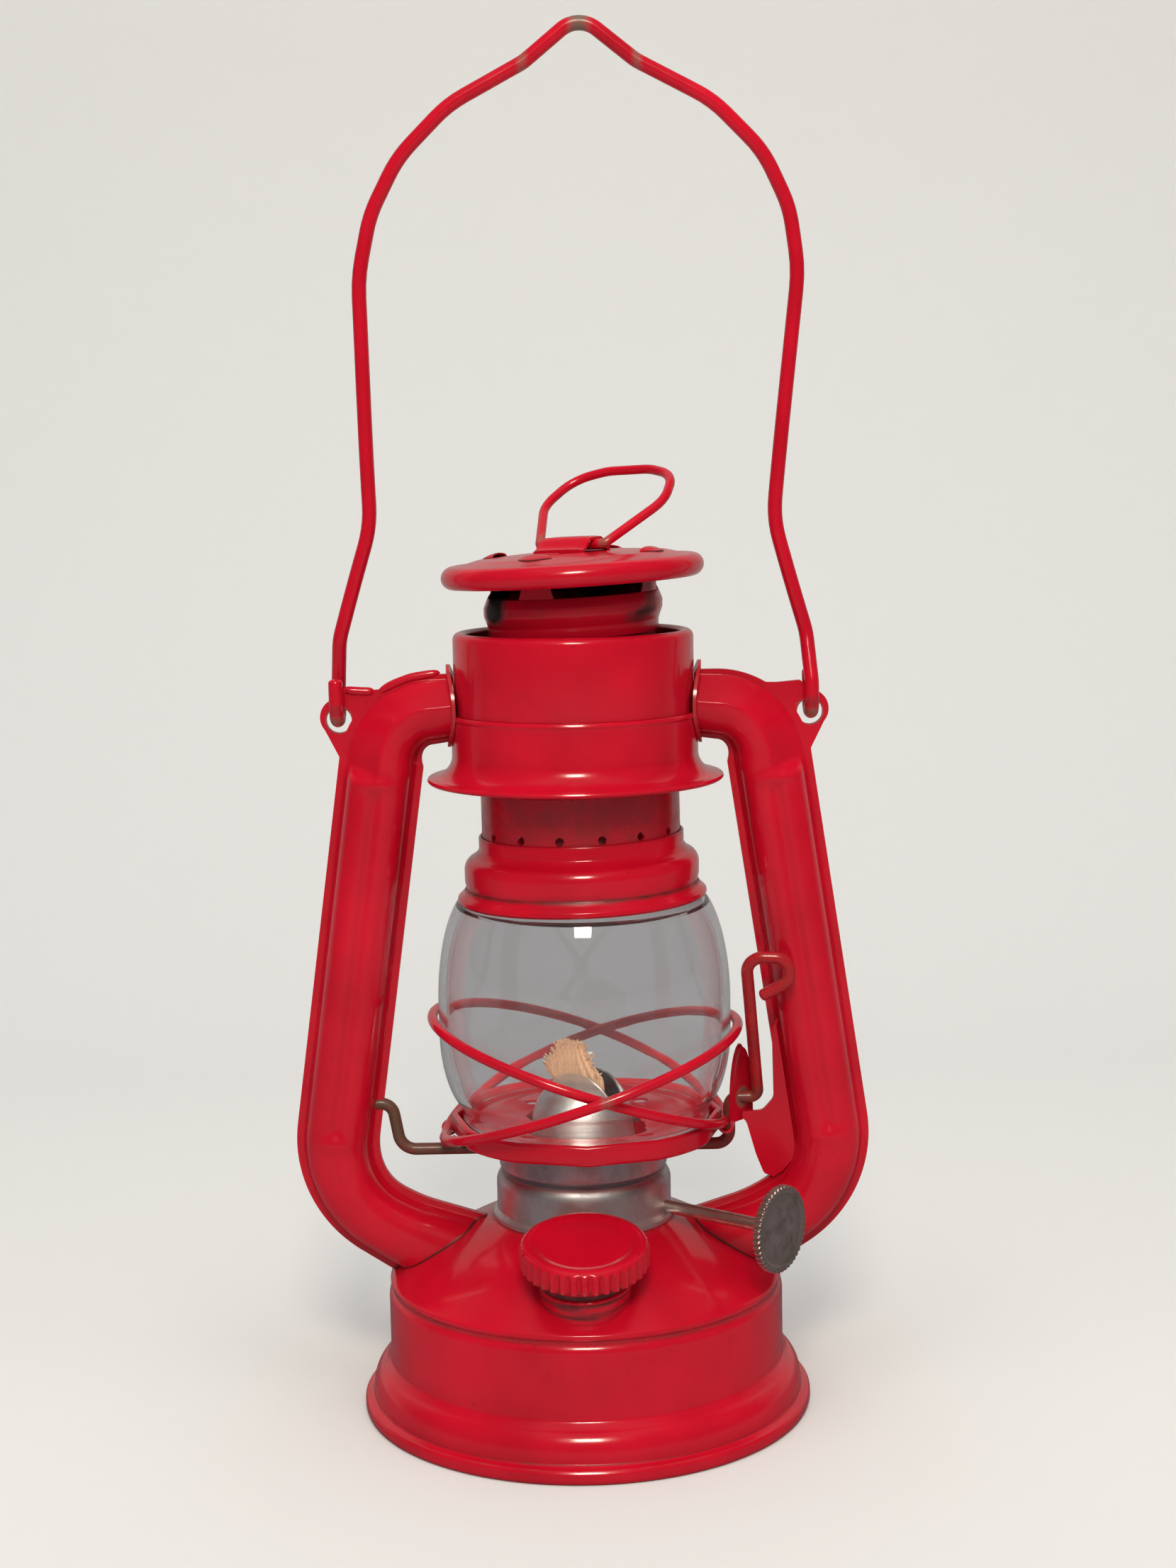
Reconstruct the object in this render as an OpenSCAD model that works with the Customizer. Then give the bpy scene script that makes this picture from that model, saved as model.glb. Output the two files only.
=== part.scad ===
// Hurricane lantern: pressed sheet tank, two side air tubes, air sleeve, sliding
// chimney with hood, glass globe on a lifting plate, flat-wick burner and wire bail.
// Millimetres, +Z up, origin at the centre of the foot on the ground, front is -Y.

/* [Sheet and fits] */
// Thickness of the pressed sheet
sheet_t = 0.8; // [0.6:0.05:0.9]
// Gap between fixed pieces that are seated together
seat_gap = 0.05; // [0.02:0.01:0.1]
// Gap between pieces that move past each other
run_gap = 0.3; // [0.2:0.05:0.4]
// Radial clearance of a wire or shaft turning in its hole
pivot_gap = 0.06; // [0.03:0.01:0.09]

/* [Tank] */
// Radius of the crimped lip at the foot
base_r = 58; // [55:0.5:61]
// Radius of the upright tank wall
tank_r = 51; // [49.5:0.25:52]
// Height of the crimped lip
lip_h = 4; // [3:0.25:5]
// Height where the flared foot meets the upright wall
flare_z = 12; // [10:0.5:14]
// Height of the seam between the tank body and its domed top
seam_z = 32.8; // [31.5:0.1:33.5]
// Height of the dome at the burner collar
dome_z = 50; // [49:0.25:51]
// How fully the dome swells, 1 being a straight cone
dome_swell = 1.25; // [1.1:0.05:1.4]
// Height of the inner plate that keeps the fuel below the air chamber
air_plate_z = 26; // [23:0.5:27]

/* [Filler] */
// Distance of the filler neck in front of the burner, at the dome
filler_y = 38; // [37:0.25:39]
// Forward tilt of the filler neck
filler_tilt = 11.5; // [9:0.5:14]
// Radius of the filler neck
neck_r = 11.3; // [10.5:0.1:11.6]
// Radius of the scalloped cap
cap_r = 16; // [15:0.25:17]
// Height of the cap's skirt
cap_h = 5.6; // [5:0.1:5.8]
// Number of scallops round the cap
cap_scallops = 40; // [30:2:44]

/* [Burner] */
// Radius of the lower collar ring
collar_r = 22.5; // [22:0.1:23]
// Height of the collar's top, where the globe plate rests
collar_top_z = 68.7; // [67.5:0.1:69.5]
// Radius of the burner dome
burner_dome_r = 13.2; // [12.5:0.1:13.8]
// Height of the burner dome's top
burner_dome_z = 86.5; // [85:0.25:88]
// Direction of the wick spindle, seen from above
spindle_azimuth = -37; // [-42:1:-30]
// Height of the wick spindle
spindle_z = 53.2; // [53:0.1:54]
// Diameter of the wick spindle
spindle_d = 3.4; // [3:0.1:3.6]
// Distance of the knob from the burner's axis
knob_reach = 56; // [53:0.5:58]
// Diameter of the wick knob
knob_d = 22; // [19:0.5:24]
// Width of the flat wick
wick_w = 14; // [12:0.5:15]
// Thickness of the flat wick
wick_t = 2.4; // [2:0.1:2.8]
// Height of the wick's top
wick_top_z = 96; // [92:0.5:97]
// Radius of the toothed wheels that feed the wick
wheel_r = 4.5; // [4:0.1:4.8]

/* [Side tubes] */
// Height of the upper tube run into the sleeve
tube_top_z = 179.5; // [178.5:0.25:180.5]
// Distance from the axis to the upper tube corner
tube_corner_x = 47.4; // [46.5:0.2:48.5]
// Distance from the axis to the lower tube corner
elbow_x = 65.1; // [64:0.25:66]
// Height of the lower tube corner
elbow_z = 58; // [57:0.25:59]
// Slope of the tube's foot down into the dome
foot_slope = 33; // [30:1:36]
// Half width across the seam flanges
flange_w = 10.7; // [10.2:0.1:11]
// Half width of the tube's channel
channel_w = 8.2; // [7.6:0.1:8.6]
// Depth of the channel from the seam to its face
channel_d = 9.6; // [8.5:0.1:10]
// Bend radius of the upper and lower corners
tube_bend = 13.5; // [12.5:0.25:14.5]

/* [Bail] */
// Distance from the axis to the bail's ears
ear_x = 60.6; // [60:0.1:61.2]
// Height of the ear holes
ear_z = 178.2; // [177.5:0.1:179]
// Radius of the ear holes
ear_hole_r = 3.9; // [3.8:0.05:4.1]
// Strip of sheet left above the ear hole
ear_strip = 3.2; // [2.8:0.1:3.4]
// Diameter of the bail wire
bail_d = 3.5; // [3.2:0.1:3.6]
// Height of the bail's peak, at mid-wire
bail_peak_z = 349; // [335:1:360]
// Half width of the bail's shoulders, at mid-wire
bail_half_w = 53.8; // [52:0.2:56]

/* [Sleeve] */
// Radius of the air sleeve
sleeve_r = 30.3; // [30:0.1:30.6]
// Height of the sleeve's top
sleeve_top_z = 200.6; // [199:0.2:202]
// Height of the flared skirt's lower edge
skirt_z = 162.5; // [161.5:0.25:163.5]
// Radius of the flared skirt's lower edge
skirt_r = 37.6; // [36:0.2:38.5]
// Height of the plate inside the sleeve that guides the chimney
guide_z = 194.2; // [193.5:0.1:195]

/* [Chimney and hood] */
// Radius of the chimney's lower tube
chimney_r = 25.2; // [24.9:0.1:25.4]
// Radius of the chimney's upper tube
flue_r = 21.3; // [21:0.1:21.5]
// Radius of the rim that sits round the globe
bell_r = 31.75; // [31.4:0.05:32.2]
// Height of that rim's lower edge
bell_z = 132.4; // [132:0.1:133]
// Number of air holes round the chimney
vent_holes = 15; // [12:1:18]
// Radius of the air holes
vent_r = 1.1; // [0.9:0.1:1.4]
// Radius of the hood
hood_r = 33; // [31:0.25:35]
// Height of the hood's lower edge
hood_z = 212.6; // [211.5:0.2:214]
// Diameter of the lift ring's wire
ring_d = 2.4; // [2.2:0.1:2.6]
// Height of the lift ring along its own plane
ring_h = 30; // [26:0.5:31]
// Lean of the lift ring from upright
ring_lean = 56; // [45:1:65]
// Direction of the lift ring's strap, seen from above
ring_azimuth = -35; // [-50:1:-20]
// Number of coils in the canopy spring
spring_turns = 6; // [5:1:8]

/* [Globe] */
// Largest radius of the glass globe
globe_r = 37.4; // [37:0.1:37.6]
// Thickness of the glass
glass_t = 2; // [1.6:0.1:2.4]
// Radius of the globe plate's rim
plate_r = 35; // [34.7:0.1:35.2]
// Height of the globe plate's rim above the collar
plate_rim_h = 8.8; // [8:0.2:9.4]
// Diameter of the guard wire
guard_d = 2.6; // [2.4:0.1:2.8]
// Height of each guard hoop's high end
guard_high_z = 102; // [100:0.5:103]
// Height of each guard hoop's low end
guard_low_z = 70.4; // [70.2:0.1:71]

/* [Lift crank] */
// Diameter of the crank wire
crank_d = 3.1; // [2.8:0.1:3.2]
// Height of the crank's axis
crank_z = 79.3; // [78.5:0.1:80]
// Drop of the crank below its axis
crank_drop = 12.2; // [12:0.1:12.8]
// Radius of the bow that passes behind the burner
bow_r = 24.6; // [24.4:0.1:25.2]
// Distance of the finger lever from the lantern's axis
lever_x = 44; // [43.8:0.1:44.6]
// Length of the finger lever
lever_len = 41.4; // [38:0.2:43]
// Forward lean of the finger lever at rest
lever_lean = 18; // [16:1:22]

/* [Hidden] */
$fn = 72;

red = "#b4122a";
wire_brown = "#5a3026";
silver = "#b9bcc0";
inner_tin = "#9a9ca0";
far = 200;

// Places along the axis that several pieces share
dome_r = collar_r;
dome_edge_r = tank_r - 0.4;
dome_edge_z = seam_z + 1.8;
lap = 5;
collar_upper_r = collar_r - 0.9;
plate_floor_z = collar_top_z + run_gap;
plate_hole_r = burner_dome_r + 2.3;
plate_seat_z = plate_floor_z + 5;
globe_foot_z = plate_seat_z + sheet_t + run_gap;
globe_top_z = bell_z + 3.5;
globe_neck_r = bell_r - 3.4;
globe_waist_z = 102;
skirt_top_z = tube_top_z + 0.5;
skirt_wall_r = sleeve_r + sheet_t + seat_gap;
spring_wire_r = 0.6;
spring_seat_z = skirt_z + 0.5;
spring_r = flue_r + 2.3;
bell_neck_z = bell_z + 16.6;
vent_z = bell_neck_z + 1.6;
hood_crown_z = hood_z + 7.6;
head_z = sleeve_top_z + 5.4;
leg_count = 4;
leg_azimuth = 57;
leg_w = 7;
slot_play = 0.15;
wire_sides = 12;
bend_step = 15;
// Wires are drawn a hair thin, so that a true round journal can stand proud of them
thin = 0.98;

// Vectors and outlines

function unit(v) = v / norm(v);

function edge_normal(a, b) = let (d = unit(b - a)) [-d.y, d.x];

// Mitred shift of one outline point to the left of its travel
function corner_shift(p, i) =
    let (j = max(i - 1, 0), k = min(i, len(p) - 2))
    let (m = edge_normal(p[j], p[j + 1]) + edge_normal(p[k], p[k + 1]))
    2 * m / (m * m);

// Closed outline of a sheet of thickness t to the left of a line of points
function sheet_outline(p, t) = concat(p, [for (i = [len(p) - 1 : -1 : 0]) p[i] + t * corner_shift(p, i)]);

// Points of a circular or elliptic arc
function arc(c, rx, ry, from, to, steps) =
    [for (i = [0 : steps]) let (a = from + (to - from) * i / steps) c + [rx * cos(a), ry * sin(a)]];

// Height of the dome's outer face at radius r
function dome_height(r) =
    dome_z - (dome_z - dome_edge_z) * pow(max(r - dome_r, 0) / (dome_edge_r - dome_r), dome_swell);

function dome_line(steps) =
    [for (i = [0 : steps]) let (r = dome_edge_r + (dome_r - dome_edge_r) * i / steps) [r, dome_height(r)]];

module spun(p, t = sheet_t) {
    rotate_extrude() polygon([for (q = sheet_outline(p, t)) [max(q.x, 0), q.y]]);
}

// A round bar from a to b
module rod(a, b, r) {
    d = b - a;
    translate(a) rotate([0, acos(d.z / norm(d)), atan2(d.y, d.x)]) cylinder(h = norm(d), r = r);
}

// Bent wire through points, with one bend radius for each inner point
function ahead(p, i) = unit(p[i + 1] - p[i]);
function turn(p, i) = acos(ahead(p, i - 1) * ahead(p, i));
function setback(p, bends, i) = bends[i - 1] * tan(turn(p, i) / 2);
function bend_in(p, bends, i) = i == len(p) - 1 ? p[i] : p[i] - ahead(p, i - 1) * setback(p, bends, i);
function bend_out(p, bends, i) = i == 0 ? p[0] : p[i] + ahead(p, i) * setback(p, bends, i);

// Points round one bend of a wire
function bend_arc(p, bends, i) =
    let (along = ahead(p, i - 1), next = ahead(p, i), phi = turn(p, i), bend = bends[i - 1])
    let (inward = unit(next - (next * along) * along), c = bend_in(p, bends, i) + bend * inward)
    let (steps = max(2, round(phi / bend_step)))
    [for (k = [0 : steps]) let (a = phi * k / steps) c + bend * (sin(a) * along - cos(a) * inward)];

function wire_line(p, bends) =
    concat([p[0]], [for (i = [1 : len(p) - 2], q = bend_arc(p, bends, i)) q], [p[len(p) - 1]]);

function across(v) = unit(cross(v, abs(v.z) < 0.9 ? [0, 0, 1] : [1, 0, 0]));

// Round wire swept along bends, its section carried without twist
module wire(p, bends, r) {
    line = wire_line(p, bends);
    last = len(line) - 1;
    dir = [for (i = [0 : last]) unit(line[min(i + 1, last)] - line[max(i - 1, 0)])];
    side = [for (i = 0, n = across(dir[0]); i <= last; i = i + 1,
        n = i > last ? n : unit(n - (n * dir[i]) * dir[i])) n];
    points = [for (i = [0 : last], k = [0 : wire_sides - 1])
        let (b = 360 * k / wire_sides) line[i] + r * (cos(b) * side[i] + sin(b) * cross(side[i], dir[i]))];
    walls = [for (i = [0 : last - 1], k = [0 : wire_sides - 1])
        let (m = i * wire_sides + k, n = i * wire_sides + (k + 1) % wire_sides) [m, n, n + wire_sides,
            m + wire_sides]];
    caps = [[for (k = [wire_sides - 1 : -1 : 0]) k], [for (k = [0 : wire_sides - 1]) last * wire_sides + k]];
    polyhedron(points, concat(walls, caps));
}

// Tank

module dome_solid(grow) {
    shift = [for (p = dome_line(12)) p + [0, grow]];
    rotate_extrude() polygon(concat([[0, 0], [dome_edge_r + grow, 0]], shift, [[0, dome_z + grow]]));
}

module tank_body() {
    flare = arc([tank_r + 0.6, flare_z - 6.5], base_r - tank_r - 3, 6.5, 5, 80, 6);
    lip = [[base_r, 0], [base_r, lip_h - 0.6], [base_r - 0.5, lip_h], [base_r - 2.2, lip_h + 0.6]];
    color(red) spun(concat(lip, flare, [[tank_r, flare_z + 0.6], [tank_r, seam_z]]));
}

module tank_bottom() {
    r = base_r - sheet_t - seat_gap;
    color(red) spun([[r, 0], [r, 2], [r - 0.6, 2.4], [0, 2.4]]);
}

module tank_top() {
    inner_r = tank_r - sheet_t - seat_gap;
    edge = [[inner_r, seam_z - lap], [inner_r, seam_z + 0.1], [dome_edge_r, seam_z + 0.9]];
    color(red) difference() {
        spun(concat(edge, dome_line(12), [[dome_r - 1.6, dome_z + 0.05]]));
        filler_place() cylinder(h = 12 * lap, r = neck_r + seat_gap, center = true);
        for (side = [-1, 1]) translate([side * (elbow_x - 25), 0, 0]) cylinder(h = far, r = channel_w - 3.4);
    }
}

module air_plate() {
    r = tank_r - sheet_t - seat_gap;
    color(inner_tin) difference() {
        translate([0, 0, air_plate_z]) cylinder(h = sheet_t, r = r);
        translate([0, 0, air_plate_z - 1]) cylinder(h = 3, r = socket_r - sheet_t);
        filler_place() translate([0, 0, -far / 2]) cylinder(h = far, r = neck_r - 2.5);
    }
}

// Filler neck, cap and gasket, about the tilted filler axis

neck_top = 9.1;
gasket_t = 1.7;
cap_under = neck_top + seat_gap + gasket_t + seat_gap;
thread_r = neck_r + 0.55;

module filler_place() {
    translate([0, -filler_y, dome_height(filler_y)]) rotate([filler_tilt, 0, 0]) children();
}

module filler_neck() {
    rib_z = [4.3, 6.2, 8.1];
    color(red) difference() {
        filler_place() {
            difference() {
                union() {
                    translate([0, 0, -far / 4]) cylinder(h = far / 4 + neck_top, r = neck_r);
                    for (z = rib_z) translate([0, 0, z]) rotate_extrude() translate([neck_r - 0.2,
                        0]) circle(0.6);
                }
                translate([0, 0, -far / 2]) cylinder(h = far, r = neck_r - sheet_t);
            }
        }
        translate([-far / 2, -far / 2, air_plate_z + sheet_t + seat_gap - far]) cube(far);
    }
}

module filler_cap() {
    sleeve_in = thread_r + run_gap;
    skirt_low = cap_under + sheet_t - cap_h;
    crown = [[cap_r - 0.6, skirt_low], [cap_r, skirt_low + 1], [cap_r, cap_under - 0.6], [cap_r - 1,
        cap_under + 0.9],
        [cap_r - 3, cap_under + 1.5], [cap_r - 5, cap_under + sheet_t], [0, cap_under + sheet_t]];
    color(red) filler_place() difference() {
        union() {
            spun(crown);
            rotate_extrude() translate([sleeve_in, skirt_low + 0.4]) square([sheet_t, cap_under - skirt_low]);
        }
        for (i = [1 : cap_scallops]) rotate(i * 360 / cap_scallops)
            translate([cap_r + 0.6, 0, 0]) cylinder(h = cap_under - 0.5, r = 0.95, $fn = 16);
    }
}

module cap_gasket() {
    color("#3a3028") filler_place() translate([0, 0, neck_top + seat_gap]) difference() {
        cylinder(h = gasket_t, r = neck_r);
        translate([0, 0, -1]) cylinder(h = gasket_t + 2, r = neck_r - 4);
    }
}

// Burner

socket_r = collar_r - 6.5;
deck_z = spindle_z - wheel_r - 4;
wick_slot_l = wick_w + 2 * run_gap;
wick_slot_w = wick_t + 2 * run_gap;
tube_wall = 0.6;
spindle_offset = wick_t / 2 + run_gap + wheel_r;
spindle_r = spindle_d / 2;
wheel_gap = 7;
wheel_w = 2;
flange_z = collar_top_z - 3.7;

module burner_place() {
    rotate(spindle_azimuth) children();
}

// Spindle frame: local +Z runs outward along the spindle
module spindle_place() {
    burner_place() translate([0, spindle_offset, spindle_z]) rotate([0, 90, 0]) children();
}

module burner_socket() {
    low = air_plate_z + sheet_t + seat_gap;
    color(inner_tin) spun([[socket_r + 3, low], [socket_r + 3, low + sheet_t], [socket_r, low + 1.6],
        [socket_r, deck_z]]);
}

module burner_deck() {
    r = socket_r + sheet_t + seat_gap;
    color(silver) difference() {
        spun([[r, deck_z - 7], [r, deck_z + sheet_t + seat_gap], [0, deck_z + sheet_t + seat_gap]]);
        burner_place() cube([wick_slot_l + 2 * (tube_wall + seat_gap),
            wick_slot_w + 2 * (tube_wall + seat_gap), far],
            center = true);
    }
}

module burner_collar() {
    shoulder_z = collar_top_z - 10.2;
    r = collar_r;
    u = collar_upper_r;
    line = concat([[r + 1.2, dome_z + 0.1], [r + 1, dome_z + 1.1], [r, dome_z + 2]],
        arc([r - 2, shoulder_z], 2, 3.2, 0, 70, 5),
        [[r - 1.9, collar_top_z - 6.3], [u, collar_top_z - 5.4], [u, collar_top_z]]);
    color(silver) difference() {
        spun(line);
        spindle_place() cylinder(h = far, r = spindle_r + pivot_gap);
    }
}

module burner_dome() {
    r = burner_dome_r;
    rise = burner_dome_z - collar_top_z - 4;
    line = concat([[collar_upper_r - sheet_t - seat_gap, flange_z], [r + 1, flange_z], [r, flange_z + 1]],
        arc([0, collar_top_z + 4], r, rise, 0, 84, 10), [[0, burner_dome_z]]);
    color(silver) difference() {
        spun(line);
        burner_place() translate([0, 0, burner_dome_z]) cube([wick_w + 4, wick_t + 3.2, 22], center = true);
        for (i = [0 : 9]) rotate(i * 36) translate([r + 4, 0, flange_z - 2]) cylinder(h = 4, r = 1.8);
    }
}

module wick_tube() {
    l = wick_slot_l + 2 * tube_wall;
    w = wick_slot_w + 2 * tube_wall;
    low = deck_z - 9;
    high = burner_dome_z - 7;
    lug_x = wheel_gap / 2 + wheel_w + 1;
    color(silver) burner_place() mirror([0, 1, 0]) difference() {
        union() {
            translate([-l / 2, -w / 2, low]) cube([l, w, high - low]);
            for (x = [-lug_x - 1.2, lug_x])
                translate([x, -spindle_offset - spindle_r - 1.4, spindle_z - 3])
                    cube([1.2, spindle_offset + spindle_r + 1.4 - w / 2 + 0.2, 6]);
        }
        translate([-wick_slot_l / 2, -wick_slot_w / 2, 0]) cube([wick_slot_l, wick_slot_w, far]);
        translate([-lug_x + 0.4, -w, spindle_z - 4.4]) cube([2 * lug_x - 0.8, w, 8.8]);
        translate([-l, -spindle_offset, spindle_z]) rotate([0, 90, 0]) cylinder(h = 2 * l,
            r = spindle_r + pivot_gap);
    }
}

// How far the knob winds the wick down; its lower end stays clear of the tank's floor
wick_drop = 12;

module wick() {
    low = wick_drop + 4.4;
    shoulder = wick_top_z - 9;
    h = wick_w / 2;
    line = [[-h, low], [h, low], [h, shoulder], [h - 2.5, wick_top_z - 5], [h - 7, wick_top_z - 2.2],
        [0, wick_top_z], [-3.4, wick_top_z - 1], [-h + 0.6, shoulder + 2], [-h, shoulder]];
    color("#b9925a") burner_place() rotate([90, 0, 0]) linear_extrude(wick_t, center = true) polygon(line);
}

module wick_spindle() {
    color("#7d7468") spindle_place() translate([0, 0, -wheel_gap / 2 - wheel_w - 3])
        cylinder(h = knob_reach + wheel_gap / 2 + wheel_w + 3, r = spindle_r);
}

module wick_wheels() {
    teeth = 10;
    star = [for (i = [0 : 2 * teeth - 1]) let (r = i % 2 == 0 ? wheel_r : wheel_r - 1)
        [r * cos(180 * i / teeth), r * sin(180 * i / teeth)]];
    color("#8b8378") spindle_place() for (s = [-1, 1]) translate([0, 0, s * (wheel_gap + wheel_w) / 2])
        linear_extrude(wheel_w, center = true) difference() {
            polygon(star);
            circle(spindle_r + seat_gap);
        }
}

module wick_knob() {
    face = 2.2;
    color("#8d8377") spindle_place() translate([0, 0, knob_reach]) difference() {
        union() {
            translate([0, 0, -face / 2]) cylinder(h = face, r = knob_d / 2);
            translate([0, 0, -face / 2 - 3]) cylinder(h = 3, r = spindle_r + 1);
        }
        translate([0, 0, face / 2 - 0.4]) cylinder(h = 1, r = knob_d / 2 - 1.8);
        translate([0, 0, -far]) cylinder(h = far + seat_gap, r = spindle_r + seat_gap);
    }
}

// Side tubes: one pressed half is a channel with a seam flange on each side

lean_dir = unit([elbow_x - tube_corner_x, elbow_z - tube_top_z]);
foot_len = 36;
seam_play = 0.05;
// Inset of the ear's sheet in the seam flange that it grows from
ear_inset = 0.02;
crank_r = crank_d / 2;
ear_top_z = ear_z + ear_hole_r + ear_strip;
bail_pivot_z = ear_z + ear_hole_r + ear_strip / 2;

half_line = concat([[-flange_w, sheet_t + seam_play], [-channel_w - 0.4, sheet_t + seam_play]],
    arc([0, sheet_t + seam_play + 0.4], channel_w, channel_d - sheet_t - 0.5, 180, 0, 14),
    [[channel_w + 0.4, sheet_t + seam_play], [flange_w, sheet_t + seam_play]]);
half_section = sheet_outline(half_line, -sheet_t);

// Course of the right tube in the XZ plane. Its heading falls from level, at 0.
lean_angle = acos(lean_dir.x);
foot_angle = 180 - foot_slope;
tube_steps = 7;
top_set = tube_bend * tan(lean_angle / 2);
foot_set = tube_bend * tan((foot_angle - lean_angle) / 2);
top_centre = [tube_corner_x - top_set, tube_top_z - tube_bend];
foot_centre = [elbow_x, elbow_z] - lean_dir * foot_set - tube_bend * tube_out(lean_angle);

function tube_out(heading) = [sin(heading), cos(heading)];
function tube_along(heading) = [cos(heading), -sin(heading)];

// Places round one bend, each with its heading
function tube_bend_run(c, from, to) =
    [for (i = [0 : tube_steps]) let (a = from + (to - from) * i / tube_steps)
        [c + tube_bend * tube_out(a), a]];

tube_foot = foot_centre + tube_bend * tube_out(foot_angle) + foot_len * tube_along(foot_angle);
tube_course = concat([[[0, tube_top_z], 0]], tube_bend_run(top_centre, 0, lean_angle),
    tube_bend_run(foot_centre, lean_angle, foot_angle), [[tube_foot, foot_angle]]);

// Front half of the right tube: the half section carried along the course
module tube_half_raw() {
    last = len(tube_course) - 1;
    n = len(half_section);
    points = [for (place = tube_course, q = half_section)
        let (at = place[0] + q.x * tube_out(place[1])) [at.x, -q.y, at.y]];
    walls = [for (i = [0 : last - 1], k = [0 : n - 1])
        let (a = i * n + k, b = i * n + (k + 1) % n) [a, b, b + n, a + n]];
    ends = [for (k = [0 : n / 2 - 2]) [n - 1 - k, n - 2 - k, k + 1, k]];
    far_ends = [for (f = ends) [for (k = [3 : -1 : 0]) last * n + f[k]]];
    polyhedron(points, concat(walls, ends, far_ends));
    ear_lobe();
}

// Flange lobe that carries the bail, outside the channel of the upper bend
module ear_lobe() {
    c = top_centre;
    lobe_r = ear_hole_r + ear_strip;
    translate([0, -seam_play - ear_inset, 0]) rotate([90, 0,
        0]) linear_extrude(sheet_t - 2 * ear_inset) difference() {
        union() {
            translate([ear_x, ear_z]) circle(lobe_r);
            polygon([c + (tube_bend + flange_w - 1) * [cos(62), sin(62)], [ear_x, ear_top_z],
                [ear_x, ear_z] + lobe_r * [cos(30), -sin(30)], [ear_x - 1.4, ear_z - 17]]);
        }
        translate(c) circle(tube_bend + channel_w);
    }
}

module tube_half() {
    difference() {
        tube_half_raw();
        translate([0, 0, skirt_z]) cylinder(h = far, r = skirt_wall_r + seat_gap);
        dome_solid(seat_gap);
        translate([ear_x, 0, ear_z]) rotate([90, 0, 0]) cylinder(h = far, r = ear_hole_r, center = true);
    }
}

// Place along the left tube where the crank's end turns
module crank_bore() {
    translate([0, 0, crank_z]) rotate([0, -90, 0]) cylinder(h = far, r = crank_r + pivot_gap);
}

module left_half() {
    inner_x = crank_end_x - run_gap;
    color(red) difference() {
        mirror([1, 0, 0]) tube_half();
        intersection() {
            crank_bore();
            translate([inner_x, -far / 2, 0]) cube(far);
        }
    }
}

module left_tube_front() {
    left_half();
}

module left_tube_rear() {
    mirror([0, 1, 0]) left_half();
}

module right_tube_front() {
    color(red) tube_half();
}

module right_tube_rear() {
    color(red) mirror([0, 1, 0]) tube_half();
}

// Saddle flange that closes the joint between a tube and the sleeve
module tube_collar() {
    r = skirt_wall_r + 2 * seat_gap + 0.1;
    reach = channel_w + 4;
    difference() {
        intersection() {
            translate([0, 0, skirt_z + 6.9]) difference() {
                cylinder(h = far, r = r + sheet_t);
                translate([0, 0, -1]) cylinder(h = far + 2, r = r);
            }
            translate([0, 0, tube_top_z]) rotate([0, 90, 0]) cylinder(h = far, r = reach);
        }
        translate([0, 0, tube_top_z]) rotate([0, 90, 0]) cylinder(h = far, r = channel_w - 1.4);
        for (side = [0, 1]) mirror([0, side, 0]) collar_passage();
    }
}

// Room for the tube's half section where it passes the saddle flange
module collar_passage() {
    edge = flange_w + seat_gap;
    high = sheet_t + seam_play + seat_gap;
    outline = concat([[-edge, -1], [-edge, high], [-channel_w - 0.6, high]],
        arc([0, high + 0.4], channel_w + seat_gap, channel_d - sheet_t - 0.5, 180, 0, 14),
        [[channel_w + 0.6, high], [edge, high], [edge, -1]]);
    multmatrix([[0, 0, 1, 0], [0, -1, 0, 0], [1, 0, 0, tube_top_z]]) linear_extrude(far / 3) polygon(outline);
}

module left_tube_collar() {
    color(red) mirror([1, 0, 0]) tube_collar();
}

module right_tube_collar() {
    color(red) tube_collar();
}

// Air sleeve

module air_ports() {
    translate([0, 0, tube_top_z]) rotate([0, 90, 0]) cylinder(h = far, r = channel_w - 1.6, center = true);
}

module sleeve_body() {
    r = sleeve_r;
    top = arc([r - 1.8, sleeve_top_z - 1.8], 1.8, 1.8, 0, 110, 6);
    color(red) difference() {
        spun(concat([[r, skirt_top_z - 9]], top, [[r - 3, sleeve_top_z - 1.2]]));
        air_ports();
    }
}

module sleeve_skirt() {
    w = skirt_wall_r;
    color(red) difference() {
        spun(concat([[skirt_r, skirt_z], [skirt_r, skirt_z + 0.8]],
            arc([skirt_r - 0.4, skirt_z + 6.6], skirt_r - w - 0.4, 5.6, 262, 180, 6),
            [[w, skirt_top_z]]));
        air_ports();
    }
}

module sleeve_guide() {
    r = sleeve_r - sheet_t - seat_gap;
    hole = flue_r + run_gap;
    color(inner_tin) difference() {
        union() {
            translate([0, 0, guide_z]) cylinder(h = sheet_t, r = r);
            translate([0, 0, guide_z]) cylinder(h = 2.4, r = hole + sheet_t);
        }
        translate([0, 0, guide_z - 1]) cylinder(h = 6, r = hole);
        for (i = [0 : 7]) rotate(i * 45 + 22.5) translate([(hole + r + sheet_t) / 2, 0, guide_z - 1])
            cylinder(h = 4, r = 2.4);
    }
}

// Sliding canopy: chimney, hood and lift ring

module chimney_tube() {
    step_z = spring_seat_z - 1.5;
    color(red) difference() {
        spun([[chimney_r, bell_neck_z - 6], [chimney_r, step_z], [chimney_r - 0.6, step_z + 0.8],
            [flue_r, step_z + 1.6], [flue_r, head_z - 1.6]]);
        for (i = [0 : vent_holes - 1]) translate([0, 0, vent_z]) rotate([0, 90,
            -90 + (i + 0.5) * 360 / vent_holes])
            cylinder(h = far, r = vent_r);
    }
}

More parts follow.
